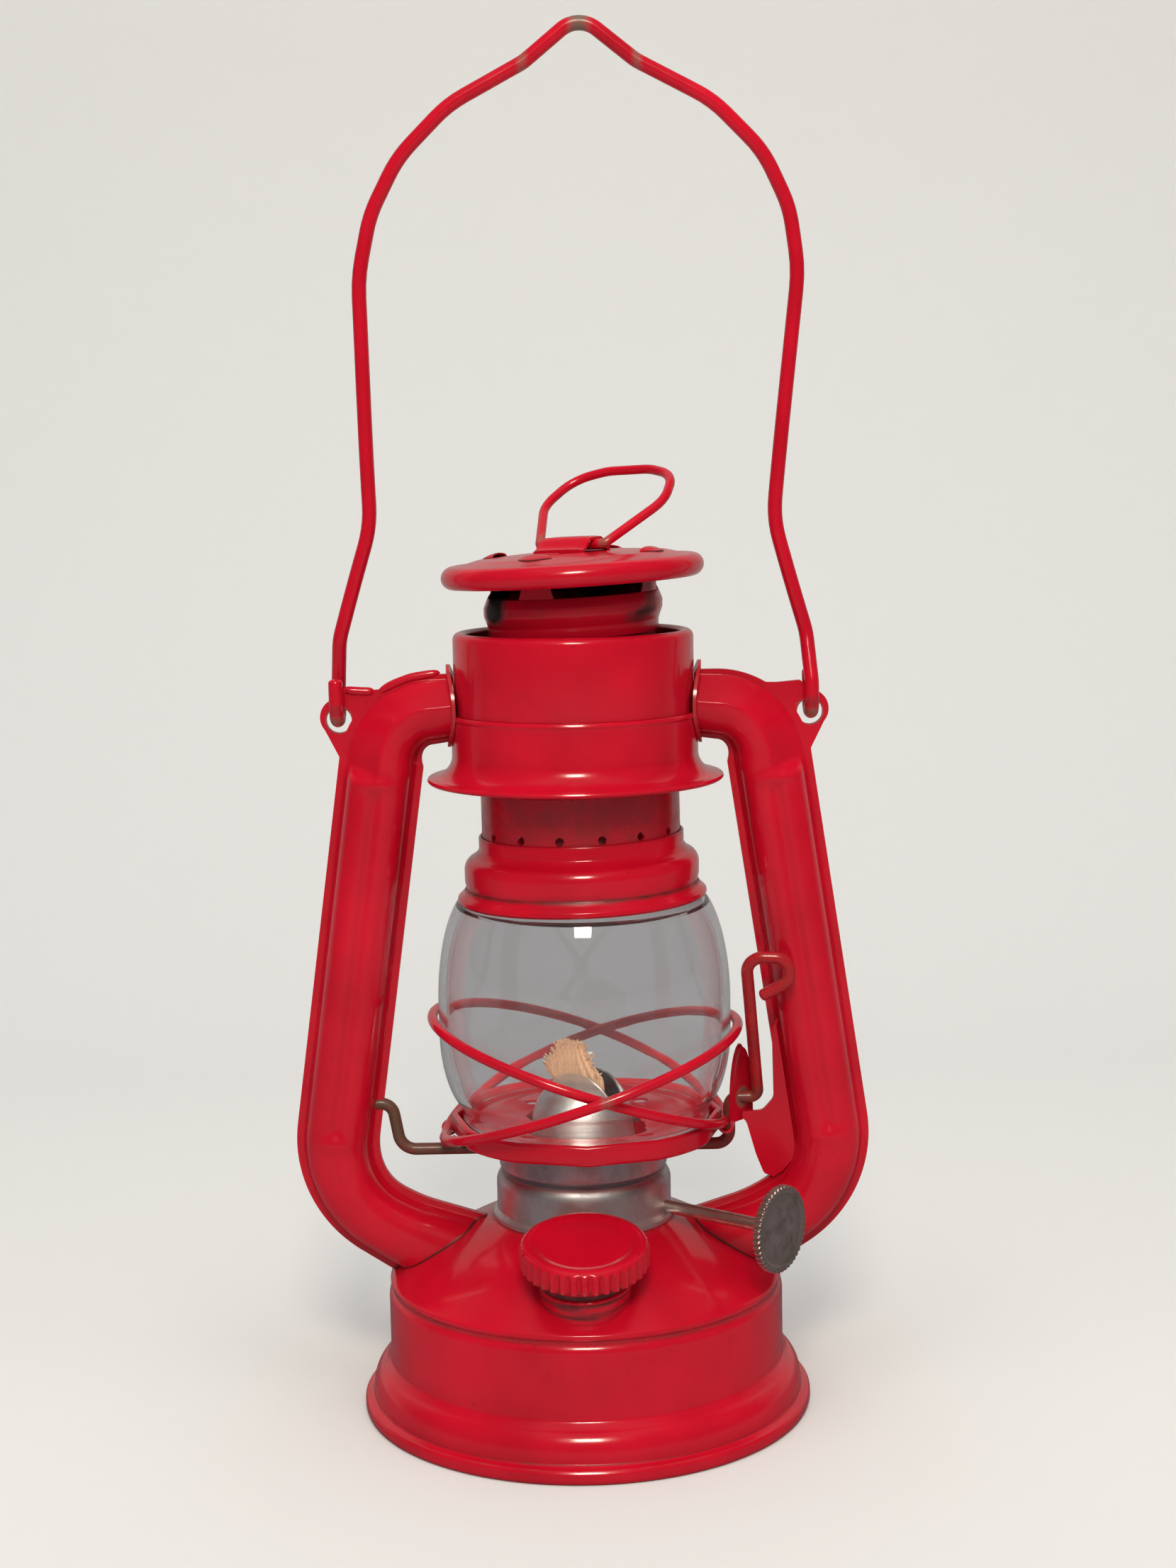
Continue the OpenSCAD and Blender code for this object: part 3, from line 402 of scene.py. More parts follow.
class Graph:
    """Nodes of one material. Each method but add adds one node and gives the socket that comes out of it."""

    def __init__(self, tree: bpy.types.NodeTree) -> None:
        """Starts from the object's own coordinates."""
        self.tree = tree
        self.place = self.add("TexCoord").outputs["Object"]

    def add(self, kind: str, links: dict | None = None, **settings) -> bpy.types.Node:
        """Shader node of a kind."""
        return add_node(self.tree, "ShaderNode" + kind, links, **settings)

    def noise(self, size: float, detail: float, rough: float = 0.5, place: Socket | None = None) -> Socket:
        """Noise whose features have a size in millimetres."""
        at = self.place if place is None else place
        links = {"Vector": at, "Scale": 1 / (size * MM), "Detail": detail, "Roughness": rough}
        return self.add("TexNoise", links).outputs["Fac"]

    def span(self, value: Socket, low: float, high: float, first: float | Socket = 0, last: float = 1) -> Socket:
        """Value carried from the range low to high to the range first to last, and held there."""
        links = {"Value": value, "From Min": low, "From Max": high, "To Min": first, "To Max": last}
        return self.add("MapRange", links).outputs[0]

    def mix(self, share: Socket, first: str | Socket, second: str | Socket) -> Socket:
        """Colour between two others, each a hex code or a socket."""
        one, two = [linear(c) if isinstance(c, str) else c for c in (first, second)]
        return self.add("MixRGB", {"Fac": share, "Color1": one, "Color2": two}).outputs[0]

    def mask(self, name: str) -> Socket:
        """Mask that the surface carries."""
        return self.add("Attribute", attribute_name=name).outputs["Fac"]

    def maths(self, operation: str, *values: float | Socket) -> Socket:
        """Result of an operation on its values."""
        return self.add("Math", dict(enumerate(values)), operation=operation).outputs[0]

    def bump(self, height: Socket, strength: float, depth: float) -> Socket:
        """Normal that leans with a height, whose depth is in millimetres."""
        return self.add("Bump", {"Height": height, "Strength": strength, "Distance": depth * MM}).outputs[0]

    def body(self, colour: Socket, rough: float | Socket, **more: float | Socket) -> Socket:
        """Principled shader; further inputs are named in lower case with underscores."""
        links = {"Base Color": colour, "Roughness": rough}
        for key, value in more.items():
            links["IOR" if key == "ior" else key.replace("_", " ").title()] = value
        return self.add("BsdfPrincipled", links).outputs[0]


class Finish:
    """A surface finish, made once into a material."""

    name = "finish"
    slot = ""

    def material(self) -> bpy.types.Material:
        """The finish's material."""
        found = bpy.data.materials.get(self.name)
        if found:
            return found
        made = bpy.data.materials.new(self.name)
        made.use_nodes = True
        made.node_tree.nodes.clear()
        graph = Graph(made.node_tree)
        graph.add("OutputMaterial", {"Surface": self.shader(graph)})
        return made

    def shader(self, g: Graph) -> Socket:
        """Shader socket of the finish."""
        raise NotImplementedError


@dataclass(frozen=True)
class Enamel(Finish):
    """Stoved enamel on pressed steel: a gloss coat with faint orange peel, grime in its seams, painted shade in a
    few shaded places, and rubbed spots.
    """

    name: str = "red_stoved_enamel"
    slot: str = "red_enamel"
    bright: str = "#c60c26"
    deep: str = "#ae091f"
    # Dark colour for dirt in seams and specks, also used as painted shade where its mask carries shade.
    grime: str = "#40100f"
    bare: str = "#6e5a4c"
    soot: str = "#17110f"
    mottle_mm: float = 26.0
    streak_mm: float = 5.0
    peel_mm: float = 2.6
    speck_mm: float = 1.5
    gloss: float = 0.17

    def shader(self, g: Graph) -> Socket:
        """Red that drifts a little in depth, darkened by the masks for grime with painted shade, wear and soot,
        under a thin coat.
        """
        streak = g.noise(self.streak_mm, 4, 0.6)
        red = g.mix(g.span(g.noise(self.mottle_mm, 3), 0.3, 0.7), self.deep, self.bright)
        dots = g.span(g.noise(self.speck_mm, 2), 0.70, 0.76, 0, 0.35)
        colour = g.mix(dots, red, self.grime)
        rough = g.span(streak, 0, 1, self.gloss - 0.05, self.gloss + 0.07)
        # The first layer darkens towards the dark grime colour, for real grime and for painted shade alike.
        layers = (("grime", self.grime, 0.6, 0.25), ("wear", self.bare, 0.45, 0.45), ("soot", self.soot, 0.85, 0.3))
        for mask, shade, dull, cut in layers:
            held = g.mask(mask)
            broken = g.maths("MULTIPLY_ADD", g.maths("SUBTRACT", streak, cut), held, held)
            share = g.span(broken, 0.35, 0.85)
            colour = g.mix(share, colour, shade)
            rough = g.span(share, 0, 1, rough, dull)
        peel = g.bump(g.noise(self.peel_mm, 1), 0.05, 0.2)
        return g.body(colour, rough, normal=peel, ior=1.5, coat_weight=0.2, coat_roughness=0.05)


@dataclass(frozen=True)
class Plate(Finish):
    """Satin metal, plated or bare, with fine turned lines and dull stains."""

    name: str = "satin_plated_steel"
    slot: str = "burner_metal"
    light: str = "#eeeff1"
    dark: str = "#bababd"
    soot: str = "#191513"
    gloss: float = 0.44
    line_mm: float = 0.5
    stain_mm: float = 9.0

    def shader(self, g: Graph) -> Socket:
        """Metal whose roughness follows level lines, stained in patches."""
        level = g.add("Mapping", {"Vector": g.place, "Scale": (0.02, 0.02, 1.0)}).outputs[0]
        lines = g.noise(self.line_mm, 2, place=level)
        patch = g.span(g.noise(self.stain_mm, 5, 0.65), 0.42, 0.72, 0, 0.8)
        share = g.maths("MAXIMUM", patch, g.mask("grime"))
        dull = g.maths("MULTIPLY_ADD", lines, 0.16, self.gloss - 0.08)
        rough = g.maths("MULTIPLY_ADD", share, 0.22, dull)
        colour = g.mix(g.mask("soot"), g.mix(share, self.light, self.dark), self.soot)
        return g.body(colour, rough, normal=g.bump(lines, 0.06, 0.1), metallic=1.0)


@dataclass(frozen=True)
class Glass(Finish):
    """Blown soda-lime glass, clear, with slow waves in its thickness."""

    name: str = "clear_blown_glass"
    slot: str = "clear_glass"
    tint: str = "#fdfefe"
    wave_mm: float = 14.0
    haze: float = 0.015

    def shader(self, g: Graph) -> Socket:
        """Clear transmission under a thin haze; the surface leans along the waves, and lamplight passes through."""
        wave = g.bump(g.noise(self.wave_mm, 1), 0.04, 0.6)
        body = g.body(linear(self.tint), 0.02, ior=1.5, transmission_weight=1 - self.haze, normal=wave)
        through = g.add("BsdfTransparent", {"Color": linear(self.tint)}).outputs[0]
        shadow = g.add("LightPath").outputs["Is Shadow Ray"]
        return g.add("MixShader", {"Fac": shadow, 1: body, 2: through}).outputs[0]


@dataclass(frozen=True)
class Cotton(Finish):
    """Woven cotton wick, tan with oil: yarns crossed by finer ribs, singed where the mask soot says."""

    name: str = "woven_cotton_wick"
    slot: str = "wick_cotton"
    light: str = "#f0caa6"
    dark: str = "#d8a57c"
    singed: str = "#5a3a22"
    yarn_mm: float = 0.8
    fibre_mm: float = 0.6
    turn: float = 37.0

    def shader(self, g: Graph) -> Socket:
        """Two crossed waves make the weave, and give it colour and relief."""
        turn = (0.0, 0.0, math.radians(self.turn))
        turned = g.add("Mapping", {"Vector": g.place, "Rotation": turn}).outputs[0]
        scale = 1 / (self.yarn_mm * MM) * 2 * math.pi / 20
        yarns = []
        for way, size in (("X", scale), ("Z", scale * 1.5)):
            wave = g.add("TexWave", {"Vector": turned, "Scale": size, "Distortion": 0.8}, bands_direction=way)
            yarns.append(wave.outputs["Fac"])
        fibre = g.noise(self.fibre_mm, 3, place=turned)
        tone = g.maths("MULTIPLY_ADD", g.maths("MULTIPLY", *yarns), 0.6, fibre)
        colour = g.mix(g.mask("soot"), g.mix(g.span(tone, 0.4, 1), self.dark, self.light), self.singed)
        return g.body(colour, 0.9, normal=g.bump(tone, 0.35, 0.3), sheen_weight=0.3, sheen_roughness=0.5)


@dataclass(frozen=True)
class Gum(Finish):
    """Moulded rubber, matt and faintly mottled."""

    name: str = "moulded_rubber"
    light: str = "#3a322c"
    dark: str = "#1d1815"
    mottle_mm: float = 3.0

    def shader(self, g: Graph) -> Socket:
        """Dark brown with a soft mottle."""
        return g.body(g.mix(g.noise(self.mottle_mm, 4), self.dark, self.light), 0.75)


@dataclass(frozen=True)
class Backdrop(Finish):
    """Matt pale paper of the floor and backdrop."""

    name: str = "pale_paper"
    tone: str = "#d9d9d7"
    mirrored: str = "#5c5b60"
    behind: str = "#a29e9d"
    shaded: str = "#949396"
    tooth_mm: float = 1.2

    def shader(self, g: Graph) -> Socket:
        """Even pale grey; gloss shows a dark room in front and a pale wall behind, and glass a shaded wall."""
        tooth = g.bump(g.noise(self.tooth_mm, 2), 0.05, 0.2)
        ray = g.add("LightPath").outputs
        depth = g.add("SeparateXYZ", {0: g.place}).outputs[1]
        room = g.mix(g.span(depth, 0.1, 0.6), self.mirrored, self.behind)
        colour = g.mix(ray["Is Glossy Ray"], self.tone, room)
        colour = g.mix(ray["Is Transmission Ray"], colour, self.shaded)
        return g.body(colour, 0.85, normal=tooth)


RED = Enamel()
WORN = Enamel("worn_enamel_wire", "bare_wire", bright="#a81a20", deep="#8c161c", grime="#2e1813", bare="#5d4133",
              mottle_mm=9.0, gloss=0.26)
SILVER = Plate()
TIN = Plate("dull_tinned_steel", "inner_tin", light="#a9aaab", dark="#6d6d6c", gloss=0.42)
KNOB = Plate("dull_nickel", "knob_metal", light="#dccac2", dark="#9c8780", gloss=0.4, stain_mm=5.0)
GLASS = Glass()
COTTON = Cotton()
GUM = Gum()
PAPER = Backdrop()


def place(
    name: str, surface: Surface, finish: Finish, body: str, *nodes: str, crease: float = 38.0
) -> bpy.types.Object:
    """Makes a surface into a piece that rides on a body and stands for CAD nodes.

    Args:
        name: Name of the piece.
        surface: Its surface in millimetres.
        finish: Its finish, which gives the piece its material.
        body: The CAD body that it moves with.
        nodes: The CAD nodes that it stands for.
        crease: Degrees above which an edge stays sharp.

    Returns:
        The piece.
    """
    mesh = bpy.data.meshes.new(name)
    mesh.from_pydata((surface.points * MM).tolist(), [], surface.faces.tolist())
    for key, values in surface.masks.items():
        share = np.clip(values, 0, 1).astype(np.float32)
        mesh.attributes.new(key, "FLOAT", "POINT").data.foreach_set("value", share)
    work = bmesh.new()
    work.from_mesh(mesh)
    bmesh.ops.remove_doubles(work, verts=work.verts, dist=MERGE)
    bmesh.ops.dissolve_degenerate(work, edges=work.edges, dist=MERGE)
    bmesh.ops.recalc_face_normals(work, faces=work.faces)
    work.to_mesh(mesh)
    work.free()
    mesh.shade_smooth()
    mesh.set_sharp_from_angle(angle=math.radians(crease))
    mesh.materials.append(finish.material())
    piece = bpy.data.objects.new(name, mesh)
    bpy.context.scene.collection.objects.link(piece)
    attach(piece, body)
    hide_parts(*nodes)
    LOG.info("%s: %d faces, on %s", name, len(mesh.polygons), body)
    return piece


def dress(node: str, finish: Finish) -> None:
    """Gives a CAD node that stays its finish."""
    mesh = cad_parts[node].data
    mesh.materials.clear()
    mesh.materials.append(finish.material())
    LOG.info("%s: kept from the frame", node)


# Sub-assemblies


@dataclass
class Tank:
    """Fuel tank: flared foot, upright wall, seamed dome, filler neck and cap."""

    foot_r: float = 57.99
    wall_r: float = 51.0
    seam_z: float = 32.8
    dome_z: float = 50.0
    dome_r: float = 22.5
    dome_edge_r: float = 50.6
    dome_edge_z: float = 34.6
    swell: float = 1.25
    neck_r: float = 11.3
    neck_top: float = 9.1
    thread: float = 2.6
    filler_y: float = 38.0
    filler_tilt: float = 11.5
    cap_r: float = 16.0
    cap_ribs: int = 36
    cap_low: float = 6.1
    cap_top: float = 11.7

    def dome_height(self, r: Array) -> Array:
        """Height of the dome at radius r: it falls from the collar by a power of the distance."""
        out = np.maximum(r - self.dome_r, 0) / (self.dome_edge_r - self.dome_r)
        return self.dome_z - (self.dome_z - self.dome_edge_z) * out**self.swell

    def body(self) -> Surface:
        """Turned wall: a rolled lip below a convex flare, and an upright wall whose top edge turns in."""
        f, w, t = self.foot_r, self.wall_r, self.seam_z
        lip = bent([(f - 0.3, 0.45), (f, 1.2), (f, 2.9), (f - 0.5, 3.6), (f - 1.9, 4.0), (f - 2.45, 4.5),
                    (f - 2.4, 5.4)], [0.6, 0.7, 0.5, 0.5, 0.4])
        flare = arc((w + 0.5, 5.6), f - w - 2.9, 6.3, 3, 74, 26)
        rise = bent([(w + 1.0, 12.3), (w, 13.4), (w, 29.6)], 1.3)
        turned = sheet(lip, flare, rise, arc((w - 2.6, 29.8), 2.6, 2.9, 4, 62, 12))
        z = turned.z
        crimp = 0.5 * bell(z, 4.35, 0.3) * (turned.far < f - 1.6)
        dirt = crimp + 0.4 * bell(z, t + 0.1, 0.3) + 0.3 * bell(z, 0.3, 0.5)
        return turned.masked(grime=dirt, wear=0.42 * bell(z, 3.55, 0.22))

    def bottom(self) -> Surface:
        """Turned plate, crimped inside the lip and set up off the ground."""
        r = self.foot_r - SHEET - 0.05
        return sheet(bent([(r, 0.45), (r, 1.9), (r - 0.8, 2.4), (0.0, 2.4)], [0.4, 0.5]))

    def top(self) -> Surface:
        """Turned dome whose hem stands in the wall's top edge."""
        inner, seam, edge = self.wall_r - SHEET - 0.05, self.seam_z, self.dome_edge_r
        r = np.linspace(edge - 0.6, self.dome_r, 44)
        hem = bent([(inner, seam - 5), (inner, seam + 0.15), (edge, seam + 0.9),
                    (edge + 0.05, self.dome_edge_z - 0.1), (r[0], float(self.dome_height(r[0])))], [0.25, 0.4, 0.6])
        dome = np.column_stack([r, self.dome_height(r)])
        turned = sheet(hem[:-1], dome, [[self.dome_r - 1.6, self.dome_z + 0.05]])
        dirt = 0.6 * bell(turned.z, seam + 0.3, 0.35) + 0.45 * bell(turned.far, self.dome_r + 1.4, 0.8)
        return turned.masked(grime=dirt)

    def filler_axes(self) -> Array:
        """Frame of the tilted filler, at the dome."""
        t = math.radians(self.filler_tilt)
        at = (0.0, -self.filler_y, float(self.dome_height(np.array(self.filler_y))))
        return axes_at(at, np.array([0, -math.sin(t), math.cos(t)]), np.array([1.0, 0, 0]))

    def neck(self) -> Surface:
        """Neck whose radius swells along a helix: r = neck + 0.7 bump(z / pitch - a / 2 pi), with painted shade in
        its valleys.
        """
        z = np.concatenate([np.linspace(-7.0, 1.0, 8), np.linspace(1.2, 8.4, 60), [8.7, self.neck_top]])
        a = circle(120)
        turn = np.maximum(np.cos(2 * np.pi * (z[:, None] / self.thread - a / (2 * np.pi))), -0.2) + 0.2
        held = ease((z - 1.2) / 1.0) * ease((8.6 - z) / 1.0)
        r = self.neck_r + 0.7 * held[:, None] * turn**0.8
        outer = polar(r, a, z[:, None])
        inner = outer[::-1].copy()
        inner[..., :2] = (self.neck_r - SHEET) * np.stack([np.cos(a), np.sin(a)], -1)
        points = np.concatenate([outer, inner])
        # Painted shade in the thread valleys: the outer face darkens where the helix dips, as in the cap's shadow.
        groove = np.concatenate([1 - turn / 1.2, np.zeros_like(turn)]) * 0.6
        return woven(points).masked(grime=groove.ravel()).moved(self.filler_axes())

    def cap(self) -> Surface:
        """Cap with ribs pressed in its skirt: the skirt's radius falls by 0.95 (0.5 - 0.5 cos(n a))."""
        c, low, top = self.cap_r, self.cap_low, self.cap_top
        line = np.vstack([bent([(c - 0.75, low), (c - 0.1, low + 0.5), (c, low + 1.2), (c, top - 1.6)], [0.5, 0.8]),
                          arc((c - 2.3, top - 1.3), 2.3, 2.0, 0, 100, 10),
                          bent([(c - 3.9, top + 0.35), (c - 5.0, top - 0.05), (0.0, top + 0.05)], [0.8])])
        section = np.vstack([line, [[0.0, top - 0.75]], offset(line[:-1], SHEET)[::-1]])
        a = circle(self.cap_ribs * 10)
        r, z = section[:, :1], section[:, 1:]
        held = ease((r - c + 2.4) / 1.2) * ease((top + 0.2 - z) / 1.2)
        rib = (0.5 - 0.5 * np.cos(self.cap_ribs * a)) ** 1.3
        reach = np.maximum(r - 0.95 * held * rib, 0)
        points = polar(reach, a, z)
        worn = held * (1 - rib) ** 6 * bell(z, low + 0.7, 1.2) * 0.55 + 0 * a
        dirt = held * rib * 0.5 * ease((top - 2 - z) / 3) + 0 * a
        return woven(points).masked(wear=worn.ravel(), grime=dirt.ravel()).moved(self.filler_axes())

    def build(self) -> None:
        """Places the tank's pieces."""
        place("tank_wall_sheet", self.body(), RED, "frame", "tank_body")
        place("tank_floor_sheet", self.bottom(), RED, "frame", "tank_bottom")
        place("tank_dome_sheet", self.top(), RED, "frame", "tank_top")
        place("filler_neck_thread", self.neck(), RED, "frame", "filler_neck", crease=60)
        place("filler_cap_ribbed", self.cap(), RED, "cap", "filler_cap", crease=50)
        dress("air_plate", TIN)
        dress("cap_gasket", GUM)


@dataclass
class Burner:
    """Flat-wick burner: plated collar, slotted dome, wick, spindle and knob."""

    dome_z: float = 50.0
    collar_r: float = 22.5
    collar_top: float = 68.7
    dome_r: float = 13.2
    dome_top: float = 86.5
    azimuth: float = -37.0
    spindle_z: float = 53.2
    spindle_off: float = 6.0
    spindle_r: float = 1.7
    knob_reach: float = 56.0
    knob_r: float = 11.0
    knob_teeth: int = 46
    wick_t: float = 2.4
    wick_low: float = 16.4
    wick_top: float = 94.6
    wick_sides: int = 160
    fringe: int = 90

    def turned(self) -> Array:
        """Frame of the wick, turned to the spindle's direction."""
        return upright(self.azimuth)

    def spindle_axes(self) -> Array:
        """Frame of the spindle, its Z running out to the knob."""
        way = self.turned()
        at = tuple(way[:3, :3] @ np.array([0, self.spindle_off, self.spindle_z]))
        return axes_at(at, way[:3, 0], np.array([0, 0, 1.0]))

    def collar(self) -> Surface:
        """Turned collar in two steps, with a foot flange and a groove between them."""
        r, u, t, low = self.collar_r, self.collar_r - 0.9, self.collar_top, self.dome_z
        foot = bent([(r + 1.2, low + 0.15), (r + 1.05, low + 0.9), (r, low + 2.0), (r, t - 10.2)], [0.4, 0.9])
        step = bent([(r - 2.15, t - 6.7), (r - 2.15, t - 6.3), (u, t - 5.5), (u, t)], [0.15, 0.5])
        shape = sheet(foot, arc((r - 2.2, t - 10.0), 2.2, 3.1, 2, 82, 12), step)
        return shape.masked(grime=0.95 * bell(shape.z, t - 6.5, 0.5) + 0.5 * bell(shape.z, low + 0.6, 0.7))

    def dome(self) -> Surface:
        """Dome with a slot: points run from the slot to the rim, and rise as a half ellipse, higher behind it."""
        a = circle(180)
        way = np.column_stack([np.cos(a), np.sin(a)])
        slot = bent([(12.1, 0.6), (11.0, 4.0), (3.0, 6.6), (-9.4, 3.4), (-10.6, -2.2), (11.6, -2.2), (12.1, 0.6)],
                    1.3)
        middle = np.array([0.0, 1.2])
        near = ray_reach(middle, a, slot)
        edge = np.sqrt((way @ middle) ** 2 + self.dome_r**2 - middle @ middle) - way @ middle
        k = np.linspace(0, 1, 26)[:, None]
        flat = middle + (near + (edge - near) * np.sin(k * np.pi / 2))[..., None] * way
        r = np.minimum(np.linalg.norm(flat, axis=-1), self.dome_r)
        spring = self.collar_top + 4
        peak = self.dome_top + 1.7 * ease((flat[..., 1] + 1.0) / 4.0)
        z = spring + (peak - spring) * np.sqrt(np.maximum(1 - (r / self.dome_r) ** 2, 0))
        z[0] += 0.3
        outer = np.concatenate([flat, z[..., None]], -1)
        d, low = self.dome_r, self.collar_top
        foot = bent([(d, spring - 0.2), (d + 0.1, spring - 2.4), (d + 1.2, spring - 3.4), (d + 1.5, low - 3.0),
                     (self.collar_r - 1.75, low - 3.7)], [0.9, 0.8, 0.6])
        rim = unit(flat[-1])
        level = np.broadcast_to(foot[:, None, 1:], (len(foot), len(a), 1))
        skirt = np.concatenate([foot[:, None, :1] * rim, level], -1)
        skin = np.concatenate([outer, skirt])
        inside = np.repeat([0.0, 1.0], skin.shape[0] * skin.shape[1])
        return self.backed(skin).masked(soot=inside).moved(self.turned())

    @staticmethod
    def backed(skin: Array) -> Surface:
        """A ring-shaped skin with a second face one sheet behind it."""
        across = np.gradient(skin, axis=0)
        round_it = np.roll(skin, -1, 1) - np.roll(skin, 1, 1)
        normal = unit(np.cross(round_it, across))
        sign = 1.0 if normal[0, :, 2].sum() > 0 else -1.0
        both = np.concatenate([skin, (skin - sign * SHEET * normal)[::-1]])
        return woven(both)

    def wick(self) -> Surface:
        """Flat strip that spreads out of the slot and draws in to a ragged tuft, with loose yarn ends."""
        height = [self.wick_low, 82.0, 86.0, 88.8, 91.8, 94.8]
        left = [-7.0, -7.0, -11.4, -10.4, -7.8, -4.8]
        right = [7.0, 7.0, 6.9, 4.9, 2.7, 1.4]
        sides, loose = self.wick_sides, self.fringe
        a = circle(sides)
        share = 0.5 + 0.5 * np.sign(np.cos(a)) * np.abs(np.cos(a)) ** 0.5
        deep = self.wick_t / 2 * np.sign(np.sin(a)) * np.abs(np.sin(a)) ** 0.5
        edge = self.wick_top + 0.5 * np.sin(share * 31) + 0.3 * np.sin(share * 57 + deep)
        k = np.linspace(0, 1, 70)[:, None] ** 0.8
        z = self.wick_low + (edge - self.wick_low) * k
        low, high = np.interp(z, height, left), np.interp(z, height, right)
        tuft = ease((z - 83) / 7)
        fold = 0.3 * tuft * np.sin(share * 42)
        strip = np.stack([low + (high - low) * share, deep * (1 - 0.4 * tuft) - 0.9 * tuft + fold, z], -1)
        lid = strip[-1:] * np.array([1.0, 0.0, 1.0]) + np.array([0.0, -0.9, 0.1])
        strip = np.concatenate([strip, lid])
        half = np.arange(sides // 2)
        last = (len(strip) - 1) * sides
        facing = (sides - half) % sides
        pair = last + np.stack([half[:-1], half[1:], facing[1:], facing[:-1]], -1)
        faces = np.vstack([grid_faces(len(strip), sides, False, True), pair, pair[:, ::-1] - last])
        shape = Surface(strip.reshape(-1, 3), faces)
        rng = np.random.default_rng(7)
        part = rng.uniform(0, 1, loose)
        at = np.where(part < 0.4, 94.0, 86.5 + 8 * rng.uniform(0, 1, loose))
        spot = np.where(part < 0.4, part / 0.4, np.where(part < 0.75, 0.03, 0.97))
        low, high = np.interp(at, height, left), np.interp(at, height, right)
        base = np.column_stack([low + (high - low) * spot, rng.uniform(-1.5, -0.4, loose), at - 0.7])
        aside = 0.7 * (spot - 0.5) + rng.normal(0, 0.25, loose)
        lean = np.column_stack([aside, rng.normal(-0.1, 0.25, loose), np.ones(loose)])
        length = rng.uniform(1.2, 2.3, loose)[:, None]
        for b, d, n in zip(base, unit(lean), length):
            t = np.linspace(0, 1, 6)[:, None]
            yarn = b + d * n * t + np.array([0.5 * d[0], 0.5 * d[1], -0.15]) * t**2
            shape = shape + wire(yarn, 0.2, 6)
        singe = ease((shape.z - 93.6) / 4.0) * 0.2
        return shape.masked(soot=singe).moved(self.turned())

    def spindle(self) -> Surface:
        """Turned rod with a chamfered inner end and a shoulder at the knob."""
        r, end = self.spindle_r, self.knob_reach
        line = bent([(0.0, -8.5), (r - 0.3, -8.5), (r, -8.2), (r, end - 0.2), (0.0, end - 0.2)], 0.12)
        return lathe(line, 40).moved(self.spindle_axes())

    def knob(self) -> Surface:
        """Disc with a knurled edge, whose radius falls by 0.5 (0.5 - 0.5 cos(n a)), and a dished, bare face."""
        r = self.knob_r
        outline = bent([(0.0, 0.62), (4.0, 0.66), (r - 2.4, 0.55), (r - 1.7, 1.05), (r - 0.25, 1.05), (r, 0.7),
                        (r, -0.7), (r - 0.3, -1.05), (3.2, -1.05), (2.7, -1.4), (2.7, -4.05), (0.0, -4.05)],
                       [3, 0.4, 0.3, 0.15, 0.15, 0.15, 0.15, 0.3, 0.3, 0.2])
        a = circle(self.knob_teeth * 10)
        held = ease((outline[:, :1] - r + 1.3) / 1.1)
        tooth = (0.5 - 0.5 * np.cos(self.knob_teeth * a)) ** 1.3
        reach = np.maximum(outline[:, :1] - 0.5 * held * tooth, 0)
        dirt = 0.7 * held * tooth + 0.5 * bell(outline[:, :1], r - 2.2, 0.5) * (outline[:, 1:] > 0)
        shape = woven(polar(reach, a, outline[:, 1:]), False).masked(grime=dirt.ravel())
        axes = self.spindle_axes()
        axes[:3, 3] += axes[:3, 2] * self.knob_reach
        return shape.moved(axes)

    def build(self) -> None:
        """Places the burner's pieces."""
        place("burner_collar_ring", self.collar(), SILVER, "frame", "burner_collar")
        place("burner_dome_slotted", self.dome(), SILVER, "frame", "burner_dome", crease=50)
        place("wick_strip_frayed", self.wick(), COTTON, "wick_strip", "wick", crease=60)
        place("wick_spindle_rod", self.spindle(), KNOB, "wick_drive", "wick_spindle")
        place("wick_knob_knurled", self.knob(), KNOB, "wick_drive", "wick_knob", crease=55)
        dress("burner_socket", TIN)
        dress("burner_deck", SILVER)
        dress("wick_tube", TIN)
        dress("wick_wheels", KNOB)


